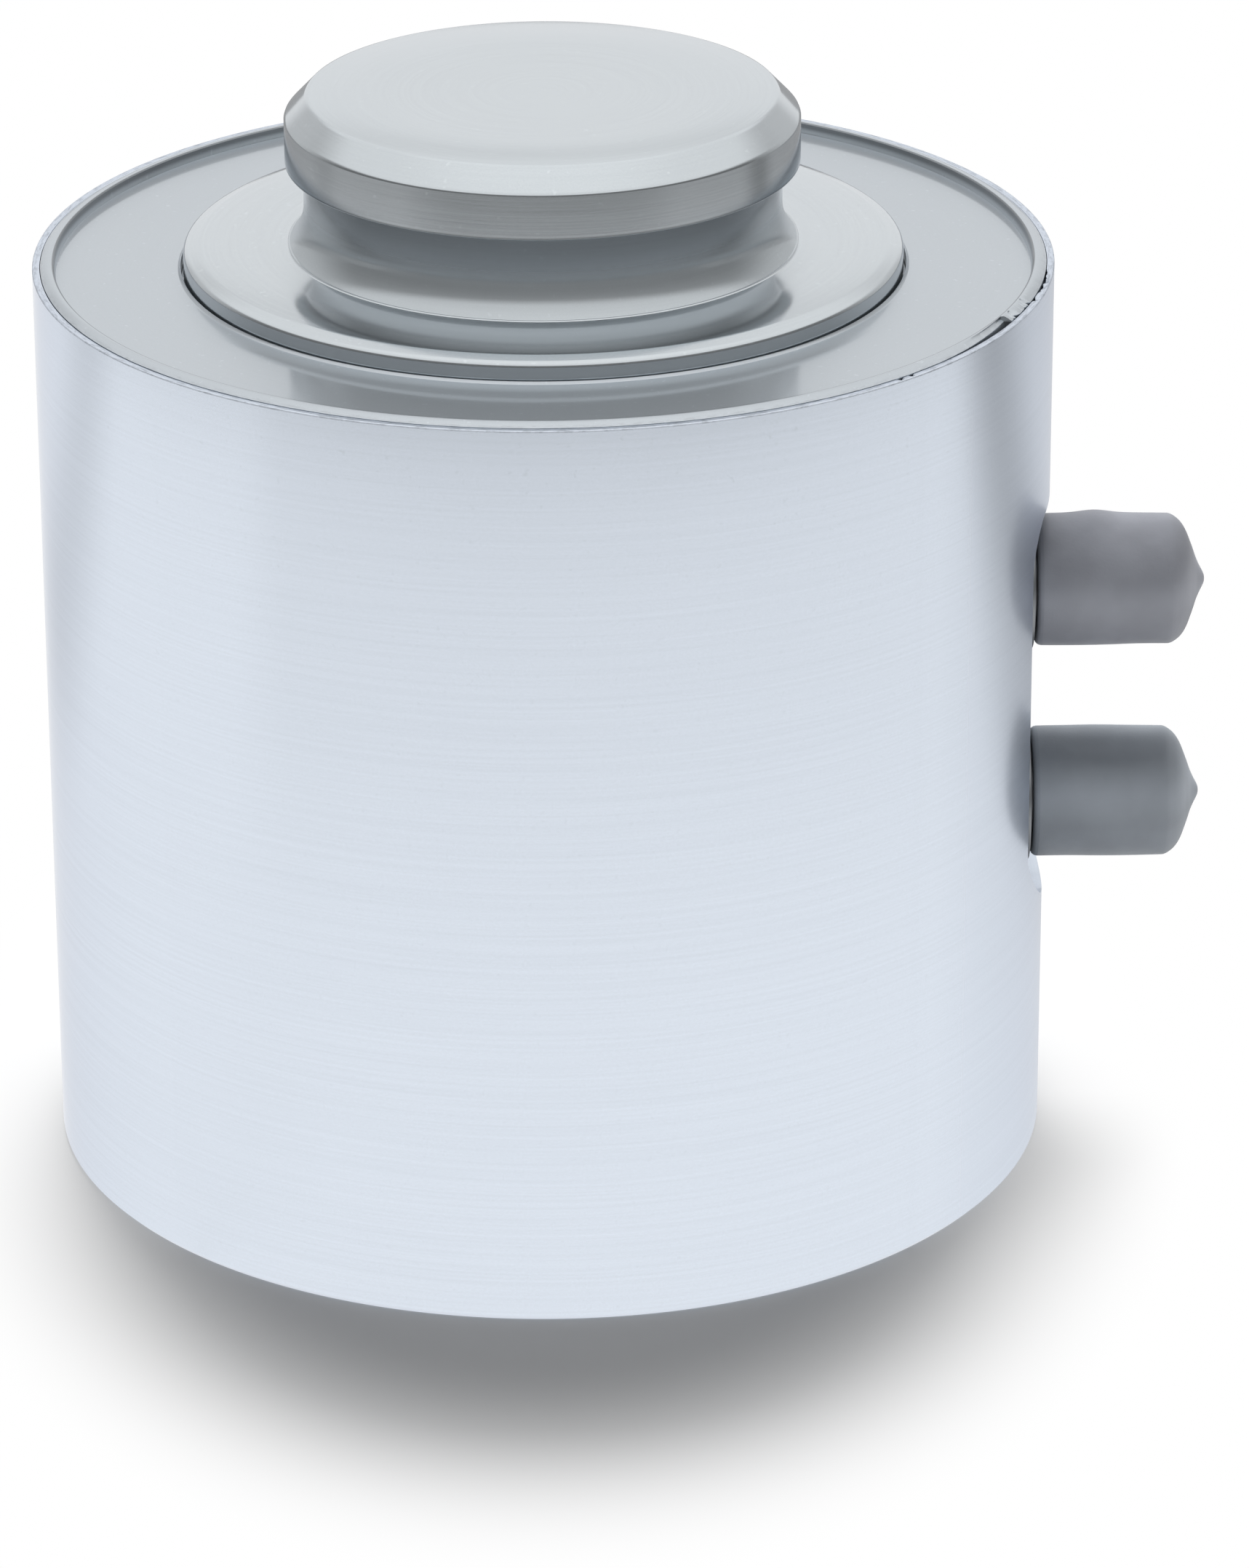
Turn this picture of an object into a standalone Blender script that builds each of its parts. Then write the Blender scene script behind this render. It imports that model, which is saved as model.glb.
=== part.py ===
"""Strain gauge load cell: a round, welded compression cell that stands on its base.

Metres, +Z up. The origin is the centre of the base face, the load button is on top
and the two capped connectors face +X.
"""

import math

import bmesh
import bpy
from mathutils import Vector

# Fits
GAP = 0.0003  # between pieces that touch or seat on each other
HOLE_PLAY = 0.0003  # round a pin, screw or barrel in its hole
FILLET_SHARE = 0.9  # the most of a wall that an edge round may take
CUT_OVERRUN = 0.004  # how far a cutter runs past the face it opens

# Housing shell
BODY_RADIUS = 0.065
SHELL_WALL = 0.0065
SHELL_HEIGHT = 0.1191
RIM_WALL = 0.0009  # thin edge left round the cover
RIM_ROUND = 0.0008
BASE_CHAMFER = 0.0006

# Top cover, a thin ring with both edges turned up
COVER_WIDTH = 0.01765
COVER_SINK = 0.0009  # cover face below the shell's top edge
COVER_THICKNESS = 0.001
COVER_LIP_HEIGHT = 0.0014
COVER_LIP_THICKNESS = 0.0008
INNER_LIP_HEIGHT = 0.0006
INNER_LIP_THICKNESS = 0.0006

# Spring element: button, neck, disc, column and foot turned from one bar
BUTTON_OVERHANG = 0.0023  # past the neck
BUTTON_BEVEL = 0.0028
BUTTON_SIDE = 0.0058
BUTTON_UNDER_ROUND = 0.0006
NECK_HEIGHT = 0.0109  # disc face to the lower edge of the button's side
NECK_FLARE = 0.002  # how much wider the neck is at the disc
NECK_FLARE_HEIGHT = 0.0066
DISC_LEDGE = 0.01545  # from the neck out to the disc's edge
DISC_RISE = 0.0031  # disc face above the cover face
DISC_BAND_WIDTH = 0.00115  # sloped band just inside the disc's edge
DISC_BAND_DROP = 0.0004
DISC_EDGE_ROUND = 0.0008
SHOULDER_WIDTH = 0.0032  # ledge under the cover's inner edge
SHOULDER_HEIGHT = 0.0136
COLUMN_STEP = 0.0039  # neck radius less column radius
COLUMN_FLAT_DEPTH = 0.002
COLUMN_FILLET = 0.004
FLAT_MARGIN = 0.002  # round column left above and below the gauge flats
FOOT_HEIGHT = 0.015
FOOT_CHAMFER = 0.0005

# Base ring between the foot and the shell
RING_WIDTH = 0.0125
RING_THICKNESS = 0.009
RING_RECESS = 0.001
RING_STEP = 0.0015  # shoulder in the shell's bore that the ring stops on
PLUG_RADIUS = 0.003
PLUG_RECESS = 0.0005
PLUG_SOCKET = 0.003  # across the flats
PLUG_SOCKET_DEPTH = 0.0025
PLUG_ANGLE = 180

# Strain gauges and their solder terminals, on the column's flats
GAUGE_FACES = 4
GAUGE_LENGTH = 0.010
GAUGE_WIDTH = 0.008
GAUGE_THICKNESS = 0.0004
GAUGE_SPACE = 0.004  # between the two gauges on one flat
TERMINAL_LENGTH = 0.005
TERMINAL_WIDTH = 0.010
TERMINAL_THICKNESS = 0.0008
TERMINAL_SPACE = 0.003  # below the lower gauge
GAUGE_LEAD_RADIUS = 0.0006
GAUGE_LEAD_REACH = 0.004  # how far a lead runs straight before it bends
GAUGE_LEAD_INSET = 0.0018  # from the edge of the board's hole

# Compensation board on pillars over the foot
BOARD_INSET = 0.0019  # from the foot's edge
BOARD_WIDTH = 0.0145
BOARD_THICKNESS = 0.0016
PILLAR_COUNT = 3
PILLAR_ANGLE = 45
PILLAR_HEIGHT = 0.004
PILLAR_FLATS = 0.005
SCREW_RADIUS = 0.00125
SCREW_LENGTH = 0.005
SCREW_HEAD_RADIUS = 0.0028
SCREW_HEAD_HEIGHT = 0.002
RESISTOR_LENGTH = 0.0065
RESISTOR_WIDTH = 0.0025
RESISTOR_HEIGHT = 0.0022
RESISTOR_ROUND = 0.0003
RESISTOR_ANGLES = (30, 150, 210, 330)

# Two M12 connectors in a pocket milled into the shell
CONNECTOR_SPACING = 0.0299
LOWER_CONNECTOR_HEIGHT = 0.0441
POCKET_DEPTH = 0.00313
POCKET_CORNER = 0.0075
POCKET_SIDE_RUN = 0.0004  # cutter width past the edge of the flat, on each side
POCKET_BOTTOM_BOW = 0.0112  # how far the bottom edge curves down from its ends
POCKET_MARGIN_BELOW = 0.0034
POCKET_MARGIN_ABOVE = 0.0051
FLANGE_RADIUS = 0.0090
FLANGE_THICKNESS = 0.0009
FLANGE_CHAMFER = 0.0003
BARREL_RADIUS = 0.006
BARREL_WALL = 0.001
BARREL_LENGTH = 0.0095  # in front of the flange
BARREL_CHAMFER = 0.0004
BARREL_TAIL = 0.0012  # behind the lock nut
NUT_FLATS = 0.018
NUT_THICKNESS = 0.003
SEAL_SECTION = 0.0005  # radius of the seal ring's section
SEAL_PLAY = 0.0002
INSERT_RECESS = 0.005
INSERT_TAIL = 0.001
PIN_COUNT = 4
PIN_CIRCLE = 0.0025
PIN_ANGLE = 45
PIN_RADIUS = 0.0005
PIN_RECESS = 0.0015
PIN_TAIL = 0.0012  # solder end behind the connector barrel
BUNDLE_RADIUS = 0.0015
BUNDLE_REACH = 0.010
BUNDLE_DROP = 0.016
BUNDLE_ANGLE = 12  # degrees to either side of the connectors

# Push-on transit caps
CAP_WALL = 0.0022
CAP_LIP_ROUND = 0.0006
CAP_BULGE = 0.0001
CAP_SIDE = 0.0173
CAP_SHOULDER = 0.0025
CAP_SHOULDER_DROP = 0.0033
CAP_CONE = 0.0013
CAP_DOME_RADIUS = 0.002  # moulding point at the tip of the cone
CAP_DOME_HEIGHT = 0.001
CAP_END_WALL = 0.003

# Facets
BODY_STEPS = 72
CONNECTOR_STEPS = 24
SMALL_STEPS = 12
PIN_STEPS = 6
SEAL_STEPS = 6
ARC_STEPS = 3
POCKET_ARC_STEPS = 5
ROUTE_POINTS = 10
SMOOTH_ANGLE = math.radians(35)
MERGE = 0.00001

# Sizes that follow from the ones above
shell_bore = BODY_RADIUS - SHELL_WALL
rim_bore = BODY_RADIUS - RIM_WALL
cover_face = SHELL_HEIGHT - COVER_SINK
cover_back = cover_face - COVER_THICKNESS
cover_shelf = cover_back - GAP
cover_outer = rim_bore - GAP
cover_inner = cover_outer - COVER_WIDTH
disc_radius = cover_inner - GAP
disc_face = cover_face + DISC_RISE
neck_radius = disc_radius - DISC_LEDGE
button_radius = neck_radius + BUTTON_OVERHANG
button_edge = disc_face + NECK_HEIGHT
button_top = button_edge + BUTTON_SIDE + BUTTON_BEVEL
shoulder_radius = disc_radius + SHOULDER_WIDTH
column_top = cover_shelf - SHOULDER_HEIGHT
column_radius = neck_radius - COLUMN_STEP
column_flat = column_radius - COLUMN_FLAT_DEPTH
column_middle = (FOOT_HEIGHT + column_top) / 2
ring_outer = shell_bore + RING_STEP - GAP
ring_inner = ring_outer - RING_WIDTH
ring_middle = (ring_outer + ring_inner) / 2
ring_top = RING_RECESS + RING_THICKNESS
foot_radius = ring_inner - GAP
pillar_base = FOOT_HEIGHT + GAP
pillar_top = pillar_base + PILLAR_HEIGHT
board_base = pillar_top + GAP
board_top = board_base + BOARD_THICKNESS
board_radius = foot_radius - BOARD_INSET
board_hole = board_radius - BOARD_WIDTH
board_middle = (board_radius + board_hole) / 2
pocket_floor = BODY_RADIUS - POCKET_DEPTH
connector_heights = {
    "a": LOWER_CONNECTOR_HEIGHT + CONNECTOR_SPACING,
    "b": LOWER_CONNECTOR_HEIGHT,
}
flange_face = GAP + FLANGE_THICKNESS
barrel_front = flange_face + BARREL_LENGTH
barrel_bore = BARREL_RADIUS - BARREL_WALL
barrel_hole = BARREL_RADIUS + HOLE_PLAY
nut_seat = math.sqrt(shell_bore**2 - (NUT_FLATS / 2) ** 2) - GAP - pocket_floor
nut_back = nut_seat - NUT_THICKNESS
barrel_back = nut_back - BARREL_TAIL
pin_back = barrel_back - PIN_TAIL
seal_major = BARREL_RADIUS + SEAL_PLAY + SEAL_SECTION
seal_groove = 2 * (SEAL_SECTION + SEAL_PLAY)


# Scene


def clear_scene():
    for obj in list(bpy.data.objects):
        bpy.data.objects.remove(obj)


def make_collection(name):
    collection = bpy.data.collections.new(name)
    bpy.context.scene.collection.children.link(collection)
    return collection


def make_material(name, colour, roughness, metallic):
    material = bpy.data.materials.new(name)
    material.use_nodes = True
    shader = material.node_tree.nodes["Principled BSDF"]
    shader.inputs["Base Color"].default_value = (*colour, 1.0)
    shader.inputs["Roughness"].default_value = roughness
    shader.inputs["Metallic"].default_value = metallic
    return material


def finish_piece(obj, look):
    """Puts a piece in the load cell's collection with a material of its own."""
    PARTS.objects.link(obj)
    obj.data.materials.append(make_material(obj.name, *look))


def finish_cutter(obj):
    CUTTERS.objects.link(obj)
    obj.hide_render = True
    obj.display_type = "WIRE"
    return obj


def cut(obj, cutter):
    boolean = obj.modifiers.new("cut " + cutter.name, "BOOLEAN")
    boolean.operation = "DIFFERENCE"
    boolean.object = cutter


def shade_pieces():
    """Settles each piece's modifiers into its mesh, then shades its round faces smooth."""
    graph = bpy.context.evaluated_depsgraph_get()
    for obj in PARTS.objects:
        if obj.type != "MESH":
            continue
        mesh = bpy.data.meshes.new_from_object(obj.evaluated_get(graph))
        obj.modifiers.clear()
        obj.data = mesh
        mesh.name = obj.name
        mesh.shade_smooth()
        mesh.set_sharp_from_angle(angle=SMOOTH_ANGLE)


# Shapes


def mesh_object(name, bm):
    mesh = bpy.data.meshes.new(name)
    bm.normal_update()
    bm.to_mesh(mesh)
    bm.free()
    return bpy.data.objects.new(name, mesh)


def arc(centre, radius, start, end, steps=ARC_STEPS):
    """Points of a circular arc, with angles in degrees from the first axis to the second."""
    points = []
    for i in range(steps + 1):
        angle = math.radians(start + (end - start) * i / steps)
        points.append((centre[0] + radius * math.cos(angle), centre[1] + radius * math.sin(angle)))
    return points


def turned(name, profile, closed, steps):
    """A profile of (radius, height) points carried once round the Z axis.

    It runs down the outer side. A closed profile makes a ring, and an open one starts
    and ends on the axis.
    """
    count = len(profile)
    edges = [(i, i + 1) for i in range(count - 1)]
    if closed:
        edges.append((count - 1, 0))
    mesh = bpy.data.meshes.new(name)
    mesh.from_pydata([(radius, 0, height) for radius, height in profile], edges, [])
    obj = bpy.data.objects.new(name, mesh)
    screw = obj.modifiers.new("turn", "SCREW")
    screw.axis = "Z"
    screw.angle = 2 * math.pi
    screw.steps = steps
    screw.render_steps = steps
    screw.use_merge_vertices = True
    screw.merge_threshold = MERGE
    return obj


def rod(name, radius, start, end, sides):
    """A round or many-sided bar along Z, from one height to another."""
    length = end - start
    bm = bmesh.new()
    bmesh.ops.create_cone(
        bm, cap_ends=True, segments=sides, radius1=radius, radius2=radius, depth=length
    )
    bmesh.ops.translate(bm, vec=(0, 0, start + length / 2), verts=bm.verts)
    return mesh_object(name, bm)


def hexagon_radius(flats):
    return flats / math.sqrt(3)


def block(name, size, edge_round=0.0):
    """A box centred on its origin, with every edge rounded by the same amount."""
    bm = bmesh.new()
    bmesh.ops.create_cube(bm, size=1.0)
    bmesh.ops.scale(bm, vec=size, verts=bm.verts)
    if edge_round:
        bmesh.ops.bevel(bm, geom=bm.edges, offset=edge_round, segments=1, affect="EDGES")
    return mesh_object(name, bm)


def outline_block(name, outline, thickness):
    """A flat outline of (across, up) points, given its thickness along X, as a mesh."""
    curve = bpy.data.curves.new(name, "CURVE")
    curve.dimensions = "2D"
    curve.fill_mode = "BOTH"
    curve.extrude = thickness / 2
    spline = curve.splines.new("POLY")
    spline.points.add(len(outline) - 1)
    spline.use_cyclic_u = True
    for point, (across, up) in zip(spline.points, outline):
        point.co = (across, up, 0, 1)
    flat = bpy.data.objects.new(name, curve)
    CUTTERS.objects.link(flat)
    graph = bpy.context.evaluated_depsgraph_get()
    mesh = bpy.data.meshes.new_from_object(flat.evaluated_get(graph))
    bpy.data.objects.remove(flat)
    bm = bmesh.new()
    bm.from_mesh(mesh)
    bmesh.ops.remove_doubles(bm, verts=bm.verts, dist=MERGE)
    bmesh.ops.recalc_face_normals(bm, faces=bm.faces)
    bpy.data.meshes.remove(mesh)
    solid = mesh_object(name, bm)
    solid.rotation_euler = (math.pi / 2, 0, math.pi / 2)
    return solid


def tube_along(name, start, start_pull, end, end_pull, radius):
    """A wire on one smooth curve that leaves its start and meets its end along the pulls."""
    curve = bpy.data.curves.new(name, "CURVE")
    curve.dimensions = "3D"
    curve.bevel_depth = radius
    curve.bevel_resolution = 2
    curve.use_fill_caps = True
    spline = curve.splines.new("POLY")
    spline.points.add(ROUTE_POINTS - 1)
    for i, point in enumerate(spline.points):
        t = i / (ROUTE_POINTS - 1)
        near = (1 - t) ** 3 * start + 3 * (1 - t) ** 2 * t * (start + start_pull)
        far = 3 * (1 - t) * t**2 * (end + end_pull) + t**3 * end
        point.co = (*(near + far), 1)
    return bpy.data.objects.new(name, curve)


# Places


def around(angle, radius, height):
    """A point at an angle in degrees from +X round the load cell's axis."""
    turn = math.radians(angle)
    return Vector((radius * math.cos(turn), radius * math.sin(turn), height))


def place(obj, angle, radius, height):
    obj.location = around(angle, radius, height)
    obj.rotation_euler = (0, 0, math.radians(angle))
    return obj


def connector_axis(letter):
    """An empty on the pocket's floor whose Z axis runs out along a connector."""
    axis = bpy.data.objects.new("connector_axis_" + letter, None)
    axis.location = (pocket_floor, 0, connector_heights[letter])
    axis.rotation_euler = (0, math.pi / 2, 0)
    PARTS.objects.link(axis)
    return axis


def on_axis(obj, axis, offset=(0, 0, 0)):
    obj.parent = axis
    obj.location = offset
    return obj


# Colours, roughness and metallic values
STEEL_SATIN = ((0.66, 0.69, 0.72), 0.38, 1.0)
STEEL_GROUND = ((0.62, 0.65, 0.67), 0.2, 1.0)
STEEL_PLAIN = ((0.5, 0.51, 0.53), 0.35, 1.0)
VINYL = ((0.2, 0.21, 0.23), 0.55, 0.0)
RUBBER = ((0.02, 0.02, 0.02), 0.7, 0.0)
INSERT_PLASTIC = ((0.05, 0.07, 0.12), 0.4, 0.0)
GOLD = ((0.8, 0.6, 0.25), 0.25, 1.0)
BRASS = ((0.72, 0.56, 0.28), 0.35, 1.0)
BOARD_GREEN = ((0.03, 0.16, 0.07), 0.45, 0.0)
GAUGE_FILM = ((0.55, 0.3, 0.06), 0.4, 0.0)
TERMINAL_COPPER = ((0.7, 0.4, 0.22), 0.4, 1.0)
RESISTOR_BLUE = ((0.08, 0.2, 0.4), 0.4, 0.0)
SLEEVE_GREY = ((0.3, 0.3, 0.32), 0.6, 0.0)
SLEEVE_RED = ((0.45, 0.05, 0.04), 0.5, 0.0)


# Housing


def pocket_cutter():
    """Mills the flat pocket: a level top edge with round corners and a bowed bottom edge."""
    half = math.sqrt(BODY_RADIUS**2 - pocket_floor**2) + POCKET_SIDE_RUN
    low = connector_heights["b"] - FLANGE_RADIUS - POCKET_MARGIN_BELOW
    high = connector_heights["a"] + FLANGE_RADIUS + POCKET_MARGIN_ABOVE
    corner = min(POCKET_CORNER, FILLET_SHARE * half)
    bow = (half**2 + POCKET_BOTTOM_BOW**2) / (2 * POCKET_BOTTOM_BOW)
    spread = math.degrees(math.asin(half / bow))
    steps = POCKET_ARC_STEPS
    outline = arc((half - corner, high - corner), corner, 0, 90, steps)
    outline += arc((corner - half, high - corner), corner, 90, 180, steps)
    outline += arc((0, low + bow), bow, 270 - spread, 270 + spread, 2 * steps)
    depth = POCKET_DEPTH + CUT_OVERRUN
    cutter = outline_block("pocket_cutter", outline, depth)
    cutter.location = (pocket_floor + depth / 2, 0, 0)
    return finish_cutter(cutter)


def housing_shell():
    rim_round = min(RIM_ROUND, FILLET_SHARE * RIM_WALL)
    ring_stop = ring_top + GAP
    profile = arc((BODY_RADIUS - rim_round, SHELL_HEIGHT - rim_round), rim_round, 90, 0)
    profile += [
        (BODY_RADIUS, BASE_CHAMFER),
        (BODY_RADIUS - BASE_CHAMFER, 0),
        (shell_bore + RING_STEP, 0),
        (shell_bore + RING_STEP, ring_stop),
        (shell_bore, ring_stop),
        (shell_bore, cover_shelf),
        (rim_bore, cover_shelf),
        (rim_bore, SHELL_HEIGHT),
    ]
    shell = turned("housing_shell", profile, True, BODY_STEPS)
    cut(shell, pocket_cutter())
    for letter, axis in CONNECTOR_AXES.items():
        inside = -SHELL_WALL - CUT_OVERRUN
        hole = rod("port_cutter_" + letter, barrel_hole, inside, CUT_OVERRUN, CONNECTOR_STEPS)
        cut(shell, finish_cutter(on_axis(hole, axis)))
        outer = seal_major + SEAL_SECTION + SEAL_PLAY
        groove = rod("seal_cutter_" + letter, outer, -seal_groove, CUT_OVERRUN, CONNECTOR_STEPS)
        cut(shell, finish_cutter(on_axis(groove, axis)))
    finish_piece(shell, STEEL_SATIN)


def top_cover():
    half = COVER_LIP_THICKNESS / 2
    crest = (cover_outer - half, cover_face + COVER_LIP_HEIGHT - half)
    inner_crest = cover_face + INNER_LIP_HEIGHT
    profile = arc(crest, half, 90, 0, 2)
    profile += [
        (cover_outer, cover_back),
        (cover_inner, cover_back),
        (cover_inner, inner_crest),
        (cover_inner + INNER_LIP_THICKNESS / 2, inner_crest),
        (cover_inner + INNER_LIP_THICKNESS, cover_face),
        (cover_outer - COVER_LIP_THICKNESS, cover_face),
    ]
    profile += arc(crest, half, 180, 90, 2)[:-1]
    finish_piece(turned("top_cover", profile, True, BODY_STEPS), STEEL_GROUND)


def base_ring():
    """The ring that closes the shell below, with a plugged purge hole."""
    profile = [
        (ring_outer, ring_top),
        (ring_outer, RING_RECESS),
        (ring_inner, RING_RECESS),
        (ring_inner, ring_top),
    ]
    ring = turned("base_ring", profile, True, BODY_STEPS)
    top = ring_top + CUT_OVERRUN
    hole = rod("plug_hole_cutter", PLUG_RADIUS + HOLE_PLAY, -CUT_OVERRUN, top, SMALL_STEPS)
    cut(ring, finish_cutter(place(hole, PLUG_ANGLE, ring_middle, 0)))
    finish_piece(ring, STEEL_PLAIN)

    low = RING_RECESS + PLUG_RECESS
    plug = rod("purge_plug", PLUG_RADIUS, low, ring_top - PLUG_RECESS, SMALL_STEPS)
    socket_radius = hexagon_radius(PLUG_SOCKET)
    socket = rod("plug_socket_cutter", socket_radius, -CUT_OVERRUN, low + PLUG_SOCKET_DEPTH, 6)
    cut(plug, finish_cutter(place(socket, PLUG_ANGLE, ring_middle, 0)))
    finish_piece(place(plug, PLUG_ANGLE, ring_middle, 0), STEEL_PLAIN)


# Spring element


def spring_profile():
    """Button, neck, disc, shoulder, column and foot, from the top face down to the base."""
    under = BUTTON_UNDER_ROUND
    hollow = button_radius - under - neck_radius
    edge = (disc_radius - DISC_EDGE_ROUND, disc_face - DISC_BAND_DROP - DISC_EDGE_ROUND)
    fillet = COLUMN_FILLET
    profile = [
        (0, button_top),
        (button_radius - BUTTON_BEVEL, button_top),
        (button_radius, button_top - BUTTON_BEVEL),
    ]
    profile += arc((button_radius - under, button_edge), under, 0, -90)
    profile += arc((neck_radius + hollow, button_edge - under - hollow), hollow, 90, 180)[1:]
    bow = (NECK_FLARE**2 + NECK_FLARE_HEIGHT**2) / (2 * NECK_FLARE)
    spread = math.degrees(math.asin(NECK_FLARE_HEIGHT / bow))
    profile += arc((neck_radius + bow, disc_face + NECK_FLARE_HEIGHT), bow, 180, 180 + spread)
    profile.append((edge[0] - DISC_BAND_WIDTH, disc_face))
    profile += arc(edge, DISC_EDGE_ROUND, 90, 0)
    profile += [
        (disc_radius, cover_shelf),
        (shoulder_radius, cover_shelf),
        (shoulder_radius, column_top),
    ]
    profile += arc((column_radius + fillet, column_top - fillet), fillet, 90, 180)
    profile += arc((column_radius + fillet, FOOT_HEIGHT + fillet), fillet, 180, 270)
    profile += [
        (foot_radius, FOOT_HEIGHT),
        (foot_radius, FOOT_CHAMFER),
        (foot_radius - FOOT_CHAMFER, 0),
        (0, 0),
    ]
    return profile


def spring_element():
    element = turned("spring_element", spring_profile(), False, BODY_STEPS)
    low = FOOT_HEIGHT + COLUMN_FILLET + FLAT_MARGIN
    high = column_top - COLUMN_FILLET - FLAT_MARGIN
    depth = COLUMN_FLAT_DEPTH + CUT_OVERRUN
    for face in range(GAUGE_FACES):
        cutter = block(f"flat_cutter_{face + 1}", (depth, 2 * column_radius, high - low))
        place(cutter, 360 * face / GAUGE_FACES, column_flat + depth / 2, (low + high) / 2)
        cut(element, finish_cutter(cutter))
    finish_piece(element, STEEL_GROUND)


# Gauges and compensation board


def gauge_lead(face, angle, height):
    """The sleeved lead from a solder terminal down to the board."""
    start = around(angle, column_flat + 2 * GAP + TERMINAL_THICKNESS, height)
    end = around(angle, board_hole + GAUGE_LEAD_INSET, board_top + GAP)
    outwards = around(angle, GAUGE_LEAD_REACH, 0)
    upwards = Vector((0, 0, GAUGE_LEAD_REACH))
    lead = tube_along(f"gauge_lead_{face}", start, outwards, end, upwards, GAUGE_LEAD_RADIUS)
    finish_piece(lead, SLEEVE_RED)


def strain_gauges():
    """Two full bridges: one gauge of each on every flat, over a shared solder terminal."""
    step = (GAUGE_LENGTH + GAUGE_SPACE) / 2
    rows = {"a": column_middle + step, "b": column_middle - step}
    gauge_size = (GAUGE_THICKNESS, GAUGE_WIDTH, GAUGE_LENGTH)
    gauge_place = column_flat + GAP + GAUGE_THICKNESS / 2
    terminal_size = (TERMINAL_THICKNESS, TERMINAL_WIDTH, TERMINAL_LENGTH)
    terminal_place = column_flat + GAP + TERMINAL_THICKNESS / 2
    terminal_height = rows["b"] - GAUGE_LENGTH / 2 - TERMINAL_SPACE - TERMINAL_LENGTH / 2
    for face in range(1, GAUGE_FACES + 1):
        angle = 360 * (face - 1) / GAUGE_FACES
        for letter, height in rows.items():
            gauge = block(f"strain_gauge_{letter}{face}", gauge_size)
            finish_piece(place(gauge, angle, gauge_place, height), GAUGE_FILM)
        terminal = block(f"solder_terminal_{face}", terminal_size)
        finish_piece(place(terminal, angle, terminal_place, terminal_height), TERMINAL_COPPER)
        gauge_lead(face, angle, terminal_height)


def board_screw(number, angle):
    seat = board_top + GAP
    profile = [
        (0, seat + SCREW_HEAD_HEIGHT),
        (SCREW_HEAD_RADIUS, seat + SCREW_HEAD_HEIGHT),
        (SCREW_HEAD_RADIUS, seat),
        (SCREW_RADIUS, seat),
        (SCREW_RADIUS, seat - SCREW_LENGTH),
        (0, seat - SCREW_LENGTH),
    ]
    screw = turned(f"board_screw_{number}", profile, False, SMALL_STEPS)
    finish_piece(place(screw, angle, board_middle, 0), STEEL_PLAIN)


def compensation_board():
    profile = [
        (board_radius, board_top),
        (board_radius, board_base),
        (board_hole, board_base),
        (board_hole, board_top),
    ]
    board = turned("compensation_board", profile, True, BODY_STEPS // 2)
    hole_radius = SCREW_RADIUS + HOLE_PLAY
    pillar_radius = hexagon_radius(PILLAR_FLATS)
    for number in range(1, PILLAR_COUNT + 1):
        angle = PILLAR_ANGLE + 360 * (number - 1) / PILLAR_COUNT
        top = board_top + CUT_OVERRUN
        hole = rod(f"pillar_hole_cutter_{number}", hole_radius, 0, top, SMALL_STEPS)
        finish_cutter(place(hole, angle, board_middle, 0))
        cut(board, hole)
        pillar = rod(f"board_pillar_{number}", pillar_radius, pillar_base, pillar_top, 6)
        cut(pillar, hole)
        finish_piece(place(pillar, angle, board_middle, 0), BRASS)
        board_screw(number, angle)
    finish_piece(board, BOARD_GREEN)


def trim_resistors():
    size = (RESISTOR_WIDTH, RESISTOR_LENGTH, RESISTOR_HEIGHT)
    middle = board_top + GAP + RESISTOR_HEIGHT / 2
    for number, angle in enumerate(RESISTOR_ANGLES, 1):
        resistor = block(f"trim_resistor_{number}", size, RESISTOR_ROUND)
        finish_piece(place(resistor, angle, board_middle, middle), RESISTOR_BLUE)


# Connectors


def connector_shell(letter, axis):
    profile = [
        (BARREL_RADIUS - BARREL_CHAMFER, barrel_front),
        (BARREL_RADIUS, barrel_front - BARREL_CHAMFER),
        (BARREL_RADIUS, flange_face),
        (FLANGE_RADIUS - FLANGE_CHAMFER, flange_face),
        (FLANGE_RADIUS, flange_face - FLANGE_CHAMFER),
        (FLANGE_RADIUS, GAP),
        (BARREL_RADIUS, GAP),
        (BARREL_RADIUS, barrel_back),
        (barrel_bore, barrel_back),
        (barrel_bore, barrel_front),
    ]
    shell = turned("connector_shell_" + letter, profile, True, CONNECTOR_STEPS)
    finish_piece(on_axis(shell, axis), STEEL_PLAIN)


def connector_contacts(letter, axis):
    """The insulating insert, and the contact pins that pass through it."""
    front = barrel_front - INSERT_RECESS
    back = barrel_back + INSERT_TAIL
    insert = rod("connector_insert_" + letter, barrel_bore - GAP, back, front, CONNECTOR_STEPS)
    pin_front = barrel_front - PIN_RECESS
    hole_radius = PIN_RADIUS + HOLE_PLAY
    for number in range(1, PIN_COUNT + 1):
        offset = around(PIN_ANGLE + 360 * (number - 1) / PIN_COUNT, PIN_CIRCLE, 0)
        name = f"{letter}{number}"
        hole = rod("pin_cutter_" + name, hole_radius, back - CUT_OVERRUN, pin_front, PIN_STEPS)
        cut(insert, finish_cutter(on_axis(hole, axis, offset)))
        pin = rod("contact_pin_" + name, PIN_RADIUS, pin_back, pin_front, PIN_STEPS)
        finish_piece(on_axis(pin, axis, offset), GOLD)
    finish_piece(on_axis(insert, axis), INSERT_PLASTIC)


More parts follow.
